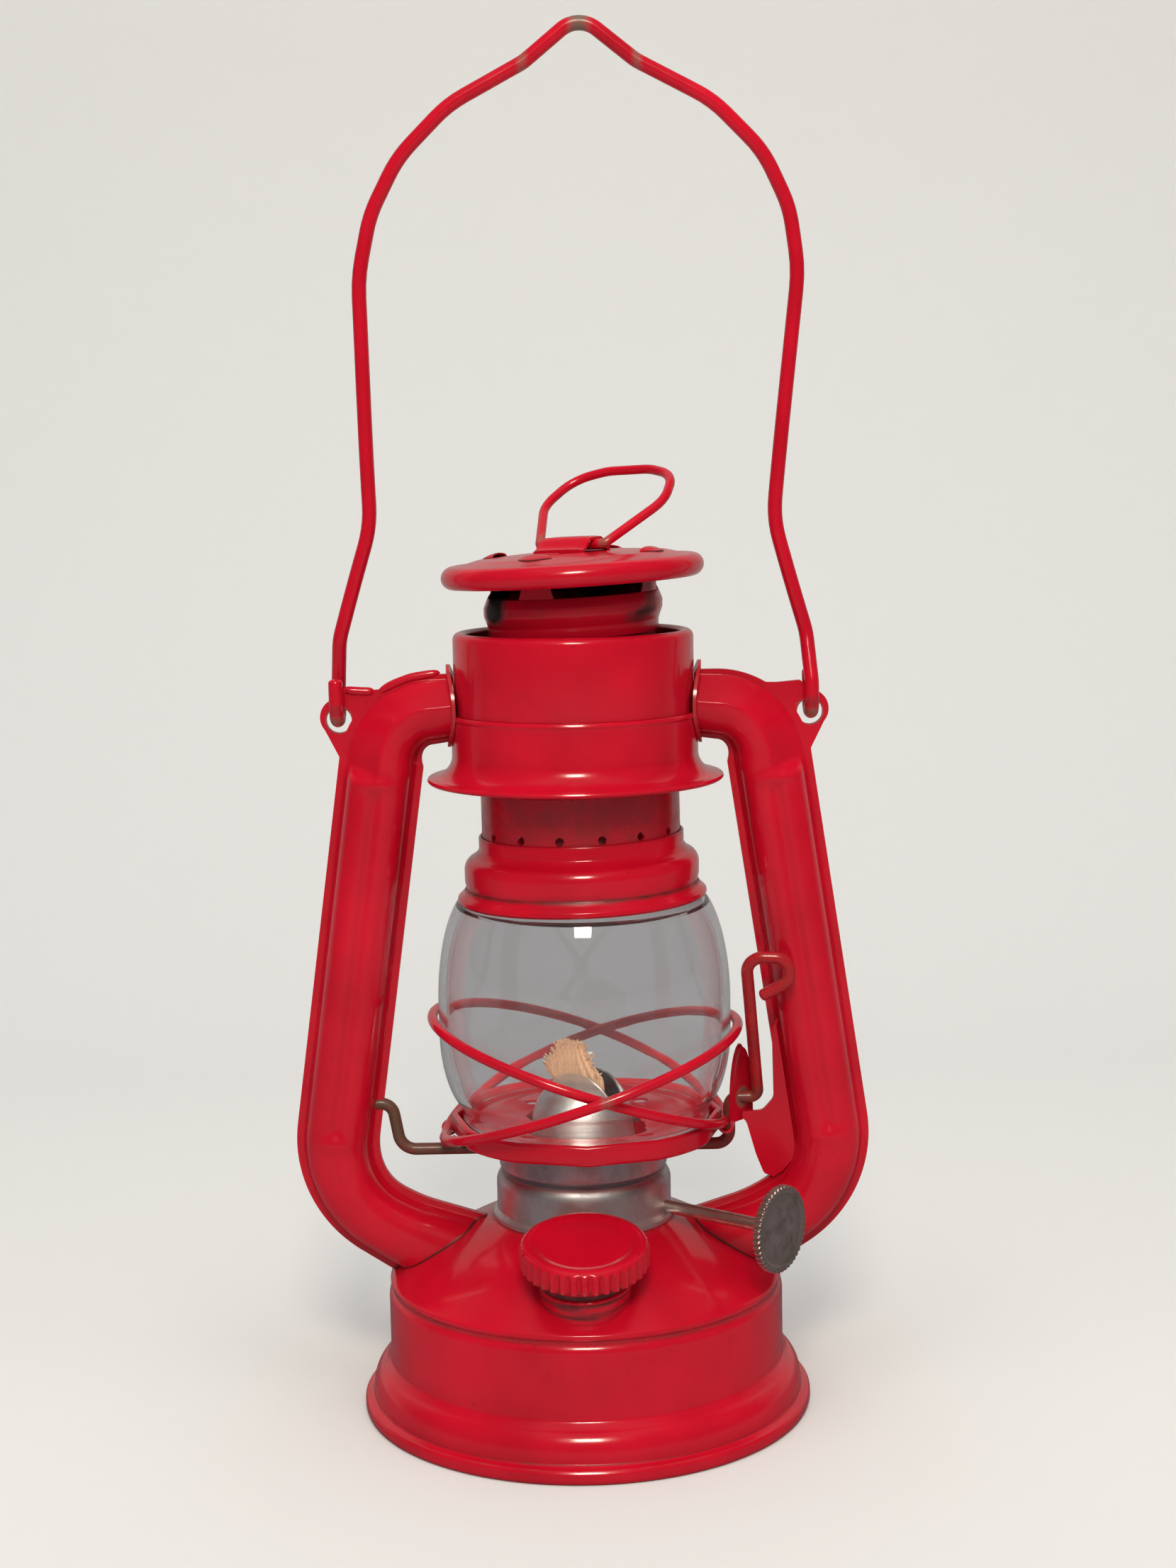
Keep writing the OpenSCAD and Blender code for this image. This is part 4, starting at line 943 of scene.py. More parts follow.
@dataclass
class SideTube:
    """Side air tube, pressed in two halves that are seamed along their flanges and spread into the bail's ears."""

    side: Side
    tank: Tank
    top_z: float = 179.5
    corner_x: float = 47.4
    elbow_x: float = 65.1
    elbow_z: float = 58.0
    foot_slope: float = 33.0
    bend_r: float = 13.5
    elbow_r: float = 24.0
    foot_flare: float = 0.0137
    flange_w: float = 10.69
    channel_w: float = 8.2
    channel_d: float = 9.6
    seam: float = 0.05
    ear_x: float = 59.4
    ear_z: float = 179.0
    ear_hole: float = 3.2
    lobe_r: float = 4.9
    sleeve_r: float = 31.25
    flute_high: float = 163.0
    flute_low: float = 71.5
    square: float = 2.5

    def section(self) -> Array:
        """Half section as (out, deep): flat flanges and a channel on a squarish half ellipse."""
        a = np.linspace(np.pi, 0, 49)
        low = SHEET + self.seam
        p = 2 / self.square
        rise = self.channel_d - low
        out = self.channel_w * np.sign(np.cos(a)) * np.abs(np.cos(a)) ** p
        dome = np.column_stack([out, low + rise * np.abs(np.sin(a)) ** p])
        flange = np.array([[-self.flange_w, low], [-self.channel_w - 0.7, low]])
        corners = np.vstack([flange, dome[2:-2], flange[::-1] * [-1, 1]])
        return even(bent(corners, [0.6] + [0.0] * (len(dome) - 4) + [0.6]), 0.42)

    def course(self) -> tuple[float, float, Array, Array]:
        """Lean heading, foot heading and the two bends' centres, in the XZ plane."""
        lean = unit(np.array([self.elbow_x - self.corner_x, self.elbow_z - self.top_z]))
        first = math.acos(lean[0])
        last = math.pi - math.radians(self.foot_slope)
        upper = np.array([self.corner_x - self.bend_r * math.tan(first / 2), self.top_z - self.bend_r])
        back = lean * math.tan((last - first) / 2) + self.out(first)
        return first, last, upper, np.array([self.elbow_x, self.elbow_z]) - self.elbow_r * back

    @staticmethod
    def out(heading: Array) -> Array:
        """Outward direction across the tube at a heading that falls from level."""
        return np.stack([np.sin(heading), np.cos(heading)], -1)

    def flare(self, along: Array) -> Array:
        """How far the foot's inner edge spreads: the square of the way for the first 10, then straight on."""
        return self.foot_flare * np.where(along < 10, along**2, 20 * along - 100)

    def grid(self) -> Array:
        """Front face of the right tube: the half section carried along its course, trimmed at sleeve and dome.

        Above the flute the outer half falls from a ridge to the flange as one slope, and the inner half draws in
        towards the sleeve. In the straight run a shallow flute follows the middle, and a pressed ridge ends it.
        Below the elbow the inner edge spreads as flare gives it.

        Returns:
            Points by place along the tube and place across it.
        """
        across = self.section()
        n, deep = across[:, 0], across[:, 1]
        first, last, upper, lower = self.course()
        marks = np.array([-self.flange_w, -self.channel_w, 0.0, self.channel_w, self.flange_w])
        share = np.column_stack([np.interp(n, marks, row) for row in np.eye(5)])
        at_sleeve = np.array([-6.4, -4.9, 3.6, 9.2, self.flange_w])
        u = np.linspace(0, 1, 14)[:, None]
        turn = np.linspace(0, first, 40)[1:]
        drawn = np.concatenate([1 - 0.15 * u[:, 0], 0.85 - 0.85 * ease(turn / first)])[:, None]
        moved = (marks + (at_sleeve - marks) * drawn) @ share.T
        low = SHEET + self.seam
        slope = low + (self.channel_d - low) * np.clip(1 - n / (self.channel_w + 0.4), 0, 1) ** 1.15
        sloped = np.where(n > 0, np.minimum(deep, slope), deep)
        reach = np.sqrt(self.sleeve_r**2 - sloped**2)
        level = np.stack([reach + (upper[0] - reach) * u, self.top_z + moved[:14]], -1)
        bend = upper + (self.bend_r + moved[14:])[..., None] * self.out(turn)[:, None]
        turn = np.linspace(first, last, 32)
        inner = share[:, 0] + share[:, 1]
        narrow = 1.2 * ease((turn - first) / (last - first))[:, None] * inner
        elbow = lower + (self.elbow_r + n + narrow)[..., None] * self.out(turn)[:, None]
        u = np.linspace(0, 1, 110)[1:-1][:, None, None]
        run = bend[-1] + (elbow[0] - bend[-1]) * u
        way = np.array([math.cos(last), -math.sin(last)])
        near, far_off = np.zeros(len(n)), np.full(len(n), 60.0)
        for _ in range(40):
            mid = (near + far_off) / 2
            at = elbow[-1] + mid[:, None] * way - (self.flare(mid) * inner)[:, None] * self.out(last)
            above = at[:, 1] > self.tank.dome_height(np.hypot(at[:, 0], deep)) + 0.05
            near, far_off = np.where(above, mid, near), np.where(above, far_off, mid)
        u = np.linspace(0, 1, 26)[1:][:, None, None]
        spread = self.flare(u[..., 0] * near) * inner
        foot = elbow[-1] + u * near[:, None] * way - spread[..., None] * self.out(last)
        flat = np.concatenate([level, bend, run, elbow, foot])
        z = flat[:, np.abs(n).argmin(), 1][:, None]
        straight = np.zeros((len(flat), 1))
        straight[len(level) + len(bend) - 4 : -len(foot) - len(elbow) + 6] = 1
        flute = ease((self.flute_high - z) / 3.5) * ease((z - self.flute_low) / 3.5) * straight
        ridge = (bell(z, self.flute_high + 0.4, 1.3) + 0.8 * bell(z, self.flute_low - 0.6, 1.6)) * straight
        upward = ease((z - self.flute_high) / 4.0)
        depth = deep + (sloped - deep) * upward - 0.8 * flute * bell(n, 0.0, 1.5)
        depth = depth + 0.5 * ridge * np.exp(-((n / 5.2) ** 4))
        return np.stack([flat[..., 0], -depth, flat[..., 1]], -1)

    def ear(self) -> Surface:
        """Flat ear: points run from its hole to its outline, which the tube's bend cuts off on the inner side."""
        _, _, c, _ = self.course()
        hole = np.array([self.ear_x, self.ear_z])
        tip = np.radians(60)
        edge = c + (self.bend_r + self.flange_w - 0.4) * np.array([math.cos(tip), math.sin(tip)])
        crown = bent([edge, (edge[0] + 3.4, 186.5), (57.2, 187.0), (58.2, 185.5), (60.6, 184.6)], [1.5, 0.8, 0.7])
        lobe = arc((hole[0] - 0.1, hole[1] + 0.7), self.lobe_r, self.lobe_r, 64, -40, 24)
        outline = np.vstack([crown, lobe, [59.6, 169.6], [59.2, 167.5], c])
        a = circle(180)
        bend = c + (self.bend_r + self.channel_w + 0.9) * np.column_stack([np.cos(a), np.sin(a)])
        reach = np.minimum(ray_reach(hole, a, outline), ray_reach(hole, a, bend))
        k = np.linspace(0, 1, 6)[:, None]
        r = self.ear_hole + (reach - self.ear_hole) * k
        skin = np.full_like(r, -self.seam - 0.06)
        face = np.stack([hole[0] + r * np.cos(a), skin, hole[1] + r * np.sin(a)], -1)
        back = face[::-1] - np.array([0, SHEET - 0.12, 0])
        both = np.concatenate([face, back])
        rim = bell(np.concatenate([r, r[::-1]]), self.ear_hole, 0.6)
        return woven(both).masked(wear=0.6 * rim.ravel())

    def hem(self) -> Surface:
        """Edge of the left rear flange, folded over the front one between sleeve and ear: two flattened rolls."""
        rolls = []
        for ends in ([(33.6, 190.6), (41.0, 189.5), (45.5, 187.9), (49.3, 185.9)],
                     [(50.3, 186.1), (53.5, 186.2), (58.2, 186.6)]):
            line = even(bent(ends, 12.0), 0.35)
            s = np.linspace(0, 1, len(line))
            full = np.sqrt(np.maximum(1 - (2 * s - 1) ** 6, 0.0))[:, None]
            b = circle(16)
            way = unit(np.gradient(line, axis=0))
            high = 1.1 * full * np.cos(b)
            y = -0.35 - 1.15 * full * np.sin(b)
            grid = np.stack([line[:, :1] - way[:, 1:] * high, y, line[:, 1:] + way[:, :1] * high], -1)
            low = np.maximum(-np.cos(b), 0) ** 4
            rolls.append(woven(grid, False).masked(grime=0.6 * low[None].repeat(len(line), 0).ravel()))
        return rolls[0] + rolls[1]

    def half(self) -> Surface:
        """Right front half with its ear, worn and dirty along its edges."""
        grid = self.grid()
        body = shell(grid, SHEET, (0, -1, 0))
        n = self.section()[:, 0]
        rows = len(grid)
        edge = 0.36 * bell(np.abs(n), self.channel_w + 0.5, 0.4) + 0.15 * bell(n, 0, 0.6)
        ends = 0.75 * bell(np.arange(rows), rows - 1, 1.2) + 0.6 * bell(np.arange(rows), 0, 1.0)
        dirt = np.maximum(np.concatenate([edge, edge[::-1]])[None], ends[:, None])
        rub = 0.2 * bell(np.abs(n), self.flange_w, 0.3)
        worn = np.concatenate([rub, rub[::-1]])[None] + np.zeros((rows, 1))
        return body.masked(grime=dirt.ravel(), wear=worn.ravel()) + self.ear()

    def saddle(self) -> Surface:
        """Flange round the tube's end: an oval ring bent to the sleeve's radius, with a tip on top."""
        a = circle(120)
        inner = 1 / np.sqrt((np.cos(a) / 8.9) ** 2 + (np.sin(a) / (self.channel_d + 0.15)) ** 2)
        k = np.linspace(0, 1, 5)[:, None]
        r = inner + (1.1 + 0.9 * np.maximum(np.cos(a), 0) ** 6) * k
        y, z = r * np.sin(a), self.top_z + 2.2 + r * np.cos(a)
        flat = self.sleeve_r + 0.1
        face = np.stack([np.sqrt((flat + SHEET) ** 2 - y**2), y, z], -1)
        back = np.stack([np.sqrt(flat**2 - y**2), y, z], -1)[::-1]
        both = np.concatenate([face, back])
        rub = np.concatenate([bell(k, 1, 0.2), bell(k[::-1], 1, 0.2)]) * 0.42 + 0 * a
        return woven(both).masked(wear=rub.ravel())

    def build(self) -> None:
        """Places the tube's halves and flange."""
        word = self.side.name.lower()
        half = self.half()
        for which in Half:
            shape = half.flipped(self.side.value, -which.value)
            if self.side is Side.LEFT and which is Half.REAR:
                shape = shape + self.hem().flipped(-1, 1)
            name = f"{word}_tube_{which.name.lower()}"
            place(f"{name}_pressing", shape, RED, "frame", name, crease=44)
        saddle = self.saddle().flipped(self.side.value)
        place(f"{word}_saddle_flange", saddle, RED, "frame", f"{word}_tube_collar")


@dataclass
class Sleeve:
    """Air sleeve between the tubes, with its flared skirt."""

    wall_r: float = 30.3
    top_z: float = 200.6
    joint_z: float = 180.0
    skirt_r: float = 37.6
    skirt_z: float = 162.5

    def body(self) -> Surface:
        """Turned wall with a rounded top edge that turns in round the chimney."""
        r, t = self.wall_r, self.top_z
        edge = arc((r - 1.8, t - 1.8), 1.8, 1.8, 0, 100, 12)
        shape = sheet([[r, self.joint_z - 9]], edge, [[r - 3.0, t - 0.5]])
        return shape.masked(grime=0.55 * bell(shape.z, self.joint_z + 0.3, 0.35))

    def skirt(self) -> Surface:
        """Turned skirt: a straight lap with a rolled upper edge, and a flare to a rolled rim."""
        w, r, z = self.wall_r + SHEET + 0.05, self.skirt_r, self.skirt_z
        top = self.joint_z
        rim = bent([(r - 0.5, z + 0.4), (r, z + 0.9), (r - 0.25, z + 1.5), (r - 1.2, z + 1.75)], 0.3)
        lap = bent([(w, top - 2.2), (w, top - 1.3), (w + 0.28, top - 0.75), (w + 0.05, top - 0.1)], [0.5, 0.4])
        shape = sheet(rim, arc((r - 0.6, z + 7.2), r - w - 0.6, 5.4, 262, 180, 16), lap)
        return shape.masked(wear=0.25 * bell(shape.z, z + 0.5, 0.5))

    def build(self) -> None:
        """Places the sleeve's pieces."""
        place("sleeve_wall_sheet", self.body(), RED, "frame", "sleeve_body")
        place("sleeve_skirt_sheet", self.skirt(), RED, "frame", "sleeve_skirt")
        dress("sleeve_guide", TIN)


@dataclass
class Canopy:
    """Sliding chimney with its bell, head, hood, lift ring and spring."""

    tube_r: float = 25.2
    flue_r: float = 20.6
    bell_r: float = 31.75
    bell_z: float = 132.4
    vents: int = 15
    vent_r: float = 1.1
    vent_z: float = 150.6
    step_z: float = 161.5
    head_z: float = 206.0
    head_top: float = 209.6
    hood_r: float = 33.0
    hood_z: float = 212.6
    crown_z: float = 220.2
    hood_lean: float = 2.4
    leg_azimuth: float = 65.0
    leg_w: float = 7.0
    strap_l: float = 15.0
    ring_r: float = 1.2
    ring_h: float = 31.4
    ring_lean: float = 56.0
    ring_azimuth: float = -35.0
    ring_z: float = 221.96
    spring_low: float = 164.4
    spring_high: float = 193.9
    spring_r: float = 23.6
    spring_wire: float = 0.6
    spring_turns: float = 6.0
    pull_part: float = 12.6
    pull: float = 12.0
    lift: float = 10.0

    def tube(self) -> Surface:
        """Turned tube with a ring of pierced holes; the turned parts share the ring's angles, and the whole tube is
        darkened by painted shade with soot.
        """
        r, half = self.tube_r, 3.0
        foot, low_end, high_end = 143.0, self.vent_z - half, self.vent_z + half
        angle, high = pierced(self.vents, r, half, self.vent_r)
        band = pierced_ring(*(polar(q, angle, self.vent_z + high) for q in (r, r - SHEET)))
        a = pierced_edge(angle, high, half)
        inside, flue = r - SHEET, self.flue_r
        low = np.array([[inside, low_end], [inside, foot], [r - SHEET / 2, foot - 0.3], [r, foot], [r, low_end]])
        step = bent([(r, high_end), (r, self.step_z), (flue, self.step_z + 1.8), (flue, self.head_z - 1.6)],
                    [0.9, 0.7])
        inner = offset(step, SHEET)[::-1]
        shape = band + lathe(low, a, False) + lathe(np.vstack([step, inner]), a, False)
        # Painted shade, with soot: a constant 0.4 mask darkens the whole tube, as if in the shadow of the sleeve
        # skirt above it.
        return self.tilted(shape.masked(grime=np.full(len(shape.points), 0.4)))

    def bell(self) -> Surface:
        """Turned bell: a rim round the globe, a groove, a rounded shoulder and a neck."""
        b, z, neck = self.bell_r, self.bell_z, self.tube_r + SHEET + 0.05
        rim = bent([(b - 0.35, z + 0.3), (b, z + 0.8), (b - 0.1, z + 1.6), (b - 1.5, z + 2.9), (b - 2.3, z + 4.2),
                    (b - 1.95, z + 5.6), (b - 1.9, z + 8.4)], [0.4, 0.5, 0.8, 0.8, 0.8])
        end = bent([(neck + 0.9, z + 12.4), (neck, z + 13.6), (neck, z + 16.6)], 0.8)
        shape = sheet(rim, arc((b - 5.0, z + 8.6), 3.1, 3.4, 4, 72, 12), end)
        dirt = 0.6 * bell(shape.z, z + 3.9, 0.9) + 0.35 * bell(shape.z, z + 16.7, 0.5)
        return self.tilted(shape.masked(grime=dirt, wear=0.3 * bell(shape.z, z + 0.6, 0.5)))

    def crown(self) -> Array:
        """Line of the hood's top from its rim to its middle."""
        r, z, top = self.hood_r, self.hood_z, self.crown_z
        return bent([(r - 4.6, z + 5.7), (r * 0.72, top - 0.7), (r * 0.42, top), (0.0, top)], [4.0, 6.0])

    def leg(self, azimuth: float) -> Surface:
        """Leg on the neck's curve up to the hood, and its clinched end: a low half moon that lies on the crown."""
        r = self.flue_r + 0.05 + SHEET
        turn = math.radians(azimuth)
        wide = np.linspace(-0.5, 0.5, 15)
        k = np.linspace(0, 1, 12)[:, None]
        spread = self.leg_w * (1 + 0.5 * (1 - k) ** 3)
        a = turn + spread * wide / r
        z = self.head_top - 0.6 + (self.crown_z - 1.0 - self.head_top) * k
        out = (math.cos(turn), math.sin(turn), 0.0)
        upright = shell(polar(r, a, z), SHEET, out)
        top = self.crown()[::-1]
        k = np.linspace(0, 1, 10)[:, None]
        left = 1 - (2 * wide) ** 2
        far_in = r - 0.7 + 3.9 * np.sqrt(np.maximum(left, 0.02)) * k
        a = turn + self.leg_w * 1.25 * wide / r + 0 * k
        rise = 0.1 + np.cos(k * np.pi / 2) * np.sqrt(np.maximum(left, 0.0))
        moon = shell(polar(far_in, a, np.interp(far_in, top[:, 0], top[:, 1]) + rise), 0.3, (0, 0, 1))
        dark = (np.tile(bell(k, 1, 0.16), (1, 30)) * 0.85).ravel()
        return upright + moon.masked(grime=dark)

    def head(self) -> Surface:
        """Turned neck ring that swells under the hood, and four legs; soot lies in patches towards the top."""
        r, top = self.flue_r + 0.05 + SHEET, self.head_top
        line = bent([(r, self.head_z - 6.0), (r, top - 7.0), (r + 1.0, top - 4.2), (r + 1.05, top - 2.2),
                     (r + 0.2, top)], [2.0, 2.0, 1.2])
        shape = sheet(line)
        p = shape.points
        p[:, 2] += 2.7 * ease(p[:, 1] / 12) * ease((p[:, 2] - top + 4) / 4)
        for i in range(4):
            shape = shape + self.leg(self.leg_azimuth + 90 * i)
        p = shape.points
        angle = np.degrees(np.arctan2(p[:, 1], p[:, 0]))
        patch = 1.9 * bell(angle, -46, 15) * bell(shape.z, top - 7.5, 2.6)
        for middle, width, dark in ((-152, 15, 0.95), (-30, 14, 0.5), (75, 40, 0.6), (-92, 16, 0.3)):
            patch = patch + dark * bell(angle, middle, width)
        under = shape.z < self.crown_z - 2.2
        low = ease((shape.z - top + 8.5) / 5) * under
        soot = np.maximum(low * patch, (shape.far < r - 0.4) * under * 1.0)
        return self.tilted(shape.masked(soot=soot, grime=np.maximum(0.3 * low, shape.masks["grime"])))

    def tilted(self, shape: Surface) -> Surface:
        """The shape as the canopy sits: height falls to the left by the lean's tangent, and the bell hangs right."""
        p = shape.points.copy()
        p[:, 2] += math.tan(math.radians(self.hood_lean)) * p[:, 0] * (0.5 + 0.5 * ease((p[:, 2] - 150) / 50))
        p[:, 0] += 1.1 - 0.9 * ease((p[:, 2] - 150) / 50)
        return Surface(p, shape.faces, shape.masks)

    def hood(self) -> Surface:
        """Turned hood: a fat rolled rim and a shallow crown; its underside is sooty."""
        r, z = self.hood_r, self.hood_z
        line = np.vstack([arc((r - 2.9, z + 2.9), 2.9, 2.85, -70, 84, 22), self.crown()])
        section = np.vstack([line, [[0.0, self.crown_z - SHEET]], offset(line[:-1], SHEET)[::-1]])
        shape = lathe(section)
        under = np.zeros((len(section), ROUND))
        under[len(line) + 1 :] = 1
        soot = under.ravel() * ease((r - 1 - shape.far) / 6) * 0.98
        worn = 0.2 * bell(shape.z, z + 0.4, 0.4)
        return self.tilted(shape.masked(soot=soot, grime=0.4 * under.ravel(), wear=worn))

    def ring_axes(self) -> Array:
        """Frame of the lift ring's hinge, its X along the strap."""
        return upright(self.ring_azimuth, (0.0, 0.0, self.ring_z))

    def strap(self) -> Surface:
        """Strap pressed over the ring's foot: its height eases from the crown to a bridge, along the hinge."""
        high, low = self.ring_r + 0.06 + SHEET, self.crown_z + 0.05 + SHEET - self.ring_z
        y = np.linspace(-6.2, 6.2, 45)[:, None]
        z = low + (high - low) * ease((6.2 - np.abs(y)) / 4.4)
        x = np.linspace(-self.strap_l / 2, self.strap_l / 2, 14)
        grid = np.stack([x + 0 * y, y + 0 * x, z - 0.25 * (2 * np.abs(x) / self.strap_l) ** 6], -1)
        shape = shell(grid, SHEET, (0, 0, 1))
        return self.tilted(shape.masked(grime=0.5 * bell(shape.z, low - 0.1, 0.2)).moved(self.ring_axes()))

    def ring(self) -> Surface:
        """Lift ring bent from one wire, its foot lying in the strap."""
        foot, h = self.strap_l / 2 + 2.4, self.ring_h
        half = [(0.15, 0, 0), (foot, 0, 0), (18.6, 0, h * 0.55), (15.4, 0, h * 0.9), (6.5, 0, h)]
        path = half + [(-x, y, z) for x, y, z in half[::-1]]
        line = even(bent(path, [1.9, 10, 10, 12, 12, 10, 10, 1.9], 4), 0.5)
        t = math.radians(self.ring_lean)
        lean = np.eye(4)
        lean[1:3, 1:3] = [[math.cos(t), math.sin(t)], [-math.sin(t), math.cos(t)]]
        shape = wire(line, self.ring_r, 22, skew=(0.2, 1.0, 0.1))
        worn = 0.6 * bell(np.abs(shape.points[:, 0]), foot, 2.2) * (shape.z < 5)
        return self.tilted(shape.masked(wear=worn).moved(lean).moved(self.ring_axes()))

    def spring(self, start: float, end: float) -> Surface:
        """Part of the coil spring between two heights: a wire on a helix."""
        low, high = self.spring_low + self.spring_wire, self.spring_high - self.spring_wire
        z = np.linspace(start, end, 160)
        a = 2 * np.pi * self.spring_turns * (z - low) / (high - low)
        path = np.column_stack([self.spring_r * np.cos(a), self.spring_r * np.sin(a), z])
        return wire(path, self.spring_wire, 10, skew=(0.0, 0.0, 1.0))

    def build(self) -> None:
        """Places the canopy's pieces; the spring is split where the two lifts share its travel."""
        place("chimney_tube_pierced", self.tube(), RED, "canopy", "chimney_tube")
        place("chimney_bell_sheet", self.bell(), RED, "canopy", "chimney_bell")
        place("chimney_head_sheet", self.head(), RED, "canopy", "chimney_head")
        place("hood_sheet", self.hood(), RED, "canopy", "hood")
        place("ring_strap_sheet", self.strap(), RED, "canopy", "ring_strap", crease=60)
        place("lift_ring_wire", self.ring(), RED, "ring", "lift_ring", crease=70)
        thick = self.spring_wire
        low, high = self.spring_low + thick, self.spring_high - thick
        split = high - self.pull_part
        coils = self.spring(low, split), self.spring(split, high)
        lower = place("spring_lower_coils", coils[0], TIN, "globe_carriage", "canopy_spring", crease=70)
        upper = place("spring_upper_coils", coils[1], TIN, "frame", "canopy_spring", crease=70)
        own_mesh(lower)
        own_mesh(upper)


@dataclass
class GlobeCarriage:
    """Glass globe on its plate, with the crossed guard hoops and their clips."""

    glass_r: float = 37.4
    glass_t: float = 2.0
    shift: float = 1.1
    foot_z: float = 75.1
    waist_z: float = 102.0
    top_z: float = 135.9
    neck_r: float = 28.35
    plate_r: float = 35.0
    floor_z: float = 74.0
    seat_z: float = 73.5
    rim_z: float = 75.8
    hole_r: float = 15.5
    vents: int = 4
    vent_r: float = 2.3
    guard_r: float = 1.3
    guard_deep: float = 39.2
    hoop_high: tuple[float, float] = (102.2, 99.4)
    hoop_low: tuple[float, float] = (73.4, 71.2)
    clip_turn: float = 9.0

    def glass(self) -> Surface:
        """Turned barrel: a straight foot, a long upright waist, a full shoulder and a fire-polished neck."""
        g, n, foot, waist, top = self.glass_r, self.neck_r, self.foot_z, self.waist_z, self.top_z
        return sheet(
            bent([(g - 5.6, foot + 1.0), (g - 5.6, foot + 3.0), (g - 4.4, foot + 5.2)], 4.0),
            arc((g - 8, waist - 3), 8, waist - foot - 6, -56, 0, 26),
            arc((g - 10, waist + 4), 10, top - waist - 4.6, 2, 62, 30),
            bent([(n + 0.25, top - 2.9), (n, top - 2.2), (n, top - 1.0)], 1.0),
            thick=self.glass_t,
        )

    def guard(self, high_x: float, high_z: float, low_x: float, low_z: float, back: float) -> Surface:
        """Hoop tilted from its high end to its low end: an ellipse from above, whose height follows a power of x.

        Args:
            high_x: Place of the high end.
            high_z: Height of the high end.
            low_x: Place of the low end.
            low_z: Height of the low end.
            back: How far the hoop lies to the rear, so that the two pass each other.

        Returns:
            The hoop's surface.
        """
        a = circle(260)
        k = 0.5 + 0.5 * np.cos(a)
        y = back + self.guard_deep * np.sin(a)
        path = np.column_stack([low_x + (high_x - low_x) * k, y, low_z + (high_z - low_z) * k**0.75])
        shape = wire(path, self.guard_r, 20, ring=True, skew=(0.0, 0.0, 1.0))
        return shape.masked(wear=0.55 * bell(shape.points[:, 0], 5.0, 3.0) * (shape.points[:, 1] < 0))

    def plate(self) -> Surface:
        """Plate with a round hem, a seat for the glass, a pierced floor and a notched hole that turns down."""
        r, f = self.plate_r, self.floor_z
        at, half = r - 14.8, 3.0
        angle, out = pierced(self.vents, at, half, self.vent_r)
        band = pierced_ring(*(polar(at + out, angle, z) for z in (f + SHEET, f)))
        a = pierced_edge(angle, out, half)
        h = self.hole_r
        hole = [[at - half, f + SHEET], [h + 1.5, f + SHEET], [h + 0.5, f + 0.65], [h, f + 0.1],
                [h - 0.05, f - 4.2], [h + 0.35, f - 4.5], [h + 0.7, f - 4.2], [h + 0.75, f - 0.4], [h + 1.5, f],
                [at - half, f]]
        inner = lathe(np.array(hole), a, False)
        turn = np.arctan2(inner.points[:, 1], inner.points[:, 0]) - math.radians(5)
        notch = np.maximum(np.cos(6 * turn), 0) ** 2
        grow = 1 + (inner.far < h + 0.3) * (inner.z > f - 1) * 0.5 * notch / inner.far
        inner.points[:, :2] *= grow[:, None]
        s, t = self.seat_z, self.rim_z
        hem = arc((r - 0.9, t), 0.9, 0.9, -20, 200, 14)
        line = np.vstack([bent([(at + half, f), (r - 5.8, f), (r - 5.2, s), (r - 2.5, s), (r - 1.7, 71.7),
                                (r - 0.7, 71.2), (r, 72.3), (r, t - 0.5)], [0.3, 0.3, 0.5, 0.6, 0.8, 0.8]), hem])
        skin = offset(line[:-len(hem)], SHEET)
        outer = lathe(np.vstack([line, skin[::-1]]), a, False)
        return band + inner + outer

    def clip(self, turn: float, z: float) -> Surface:
        """Sheet strap that holds a hoop's low end to the hem: a strip wrapped half round the wire from below."""
        g = self.guard_r + 0.75
        line = arc((self.plate_r + self.guard_r - 0.2, z + 0.15), g, g, 40, -192, 28)
        w = np.linspace(-1.2, 1.2, 7)
        across = np.array([-math.sin(turn), math.cos(turn)])
        way = np.array([math.cos(turn), math.sin(turn)])
        flat = line[:, None, :1] * way + w[None, :, None] * across
        grid = np.concatenate([flat, np.broadcast_to(line[:, None, 1:], flat.shape[:2] + (1,))], -1)
        return shell(grid, 0.7, (way[0], way[1], -0.3))

    def clips(self) -> Surface:
        """The four clips, two under each hoop's low end."""
        right, left = self.hoop_low
        turn = math.radians(self.clip_turn)
        on_right = self.clip(turn, right) + self.clip(-turn, right)
        return on_right + self.clip(math.pi - turn, left) + self.clip(math.pi + turn, left)

    def shifted(self, shape: Surface) -> Surface:
        """The shape as it sits, a little right of the middle."""
        return Surface(shape.points + np.array([self.shift, 0, 0]), shape.faces, shape.masks)

    def build(self) -> None:
        """Places the carriage's pieces."""
        far, near, play = self.glass_r + self.guard_r + 0.4, self.plate_r + 0.6, self.guard_r + 0.05
        left_high = self.guard(-far, self.hoop_high[0], near, self.hoop_low[0], play)
        right_high = self.guard(far, self.hoop_high[1], -near - 0.8, self.hoop_low[1], -play)
        for name, shape, finish, node, crease in (
            ("globe_glass", self.glass(), GLASS, "globe", 38),
            ("globe_plate_dish", self.plate(), RED, "globe_plate", 38),
            ("guard_hoop_left_high", left_high, RED, "guard_hoop_a", 70),
            ("guard_hoop_right_high", right_high, RED, "guard_hoop_b", 70),
            ("guard_clip_straps", self.clips(), RED, "hoop_clips", 50),
        ):
            place(name, self.shifted(shape), finish, "globe_carriage", node, crease=crease)


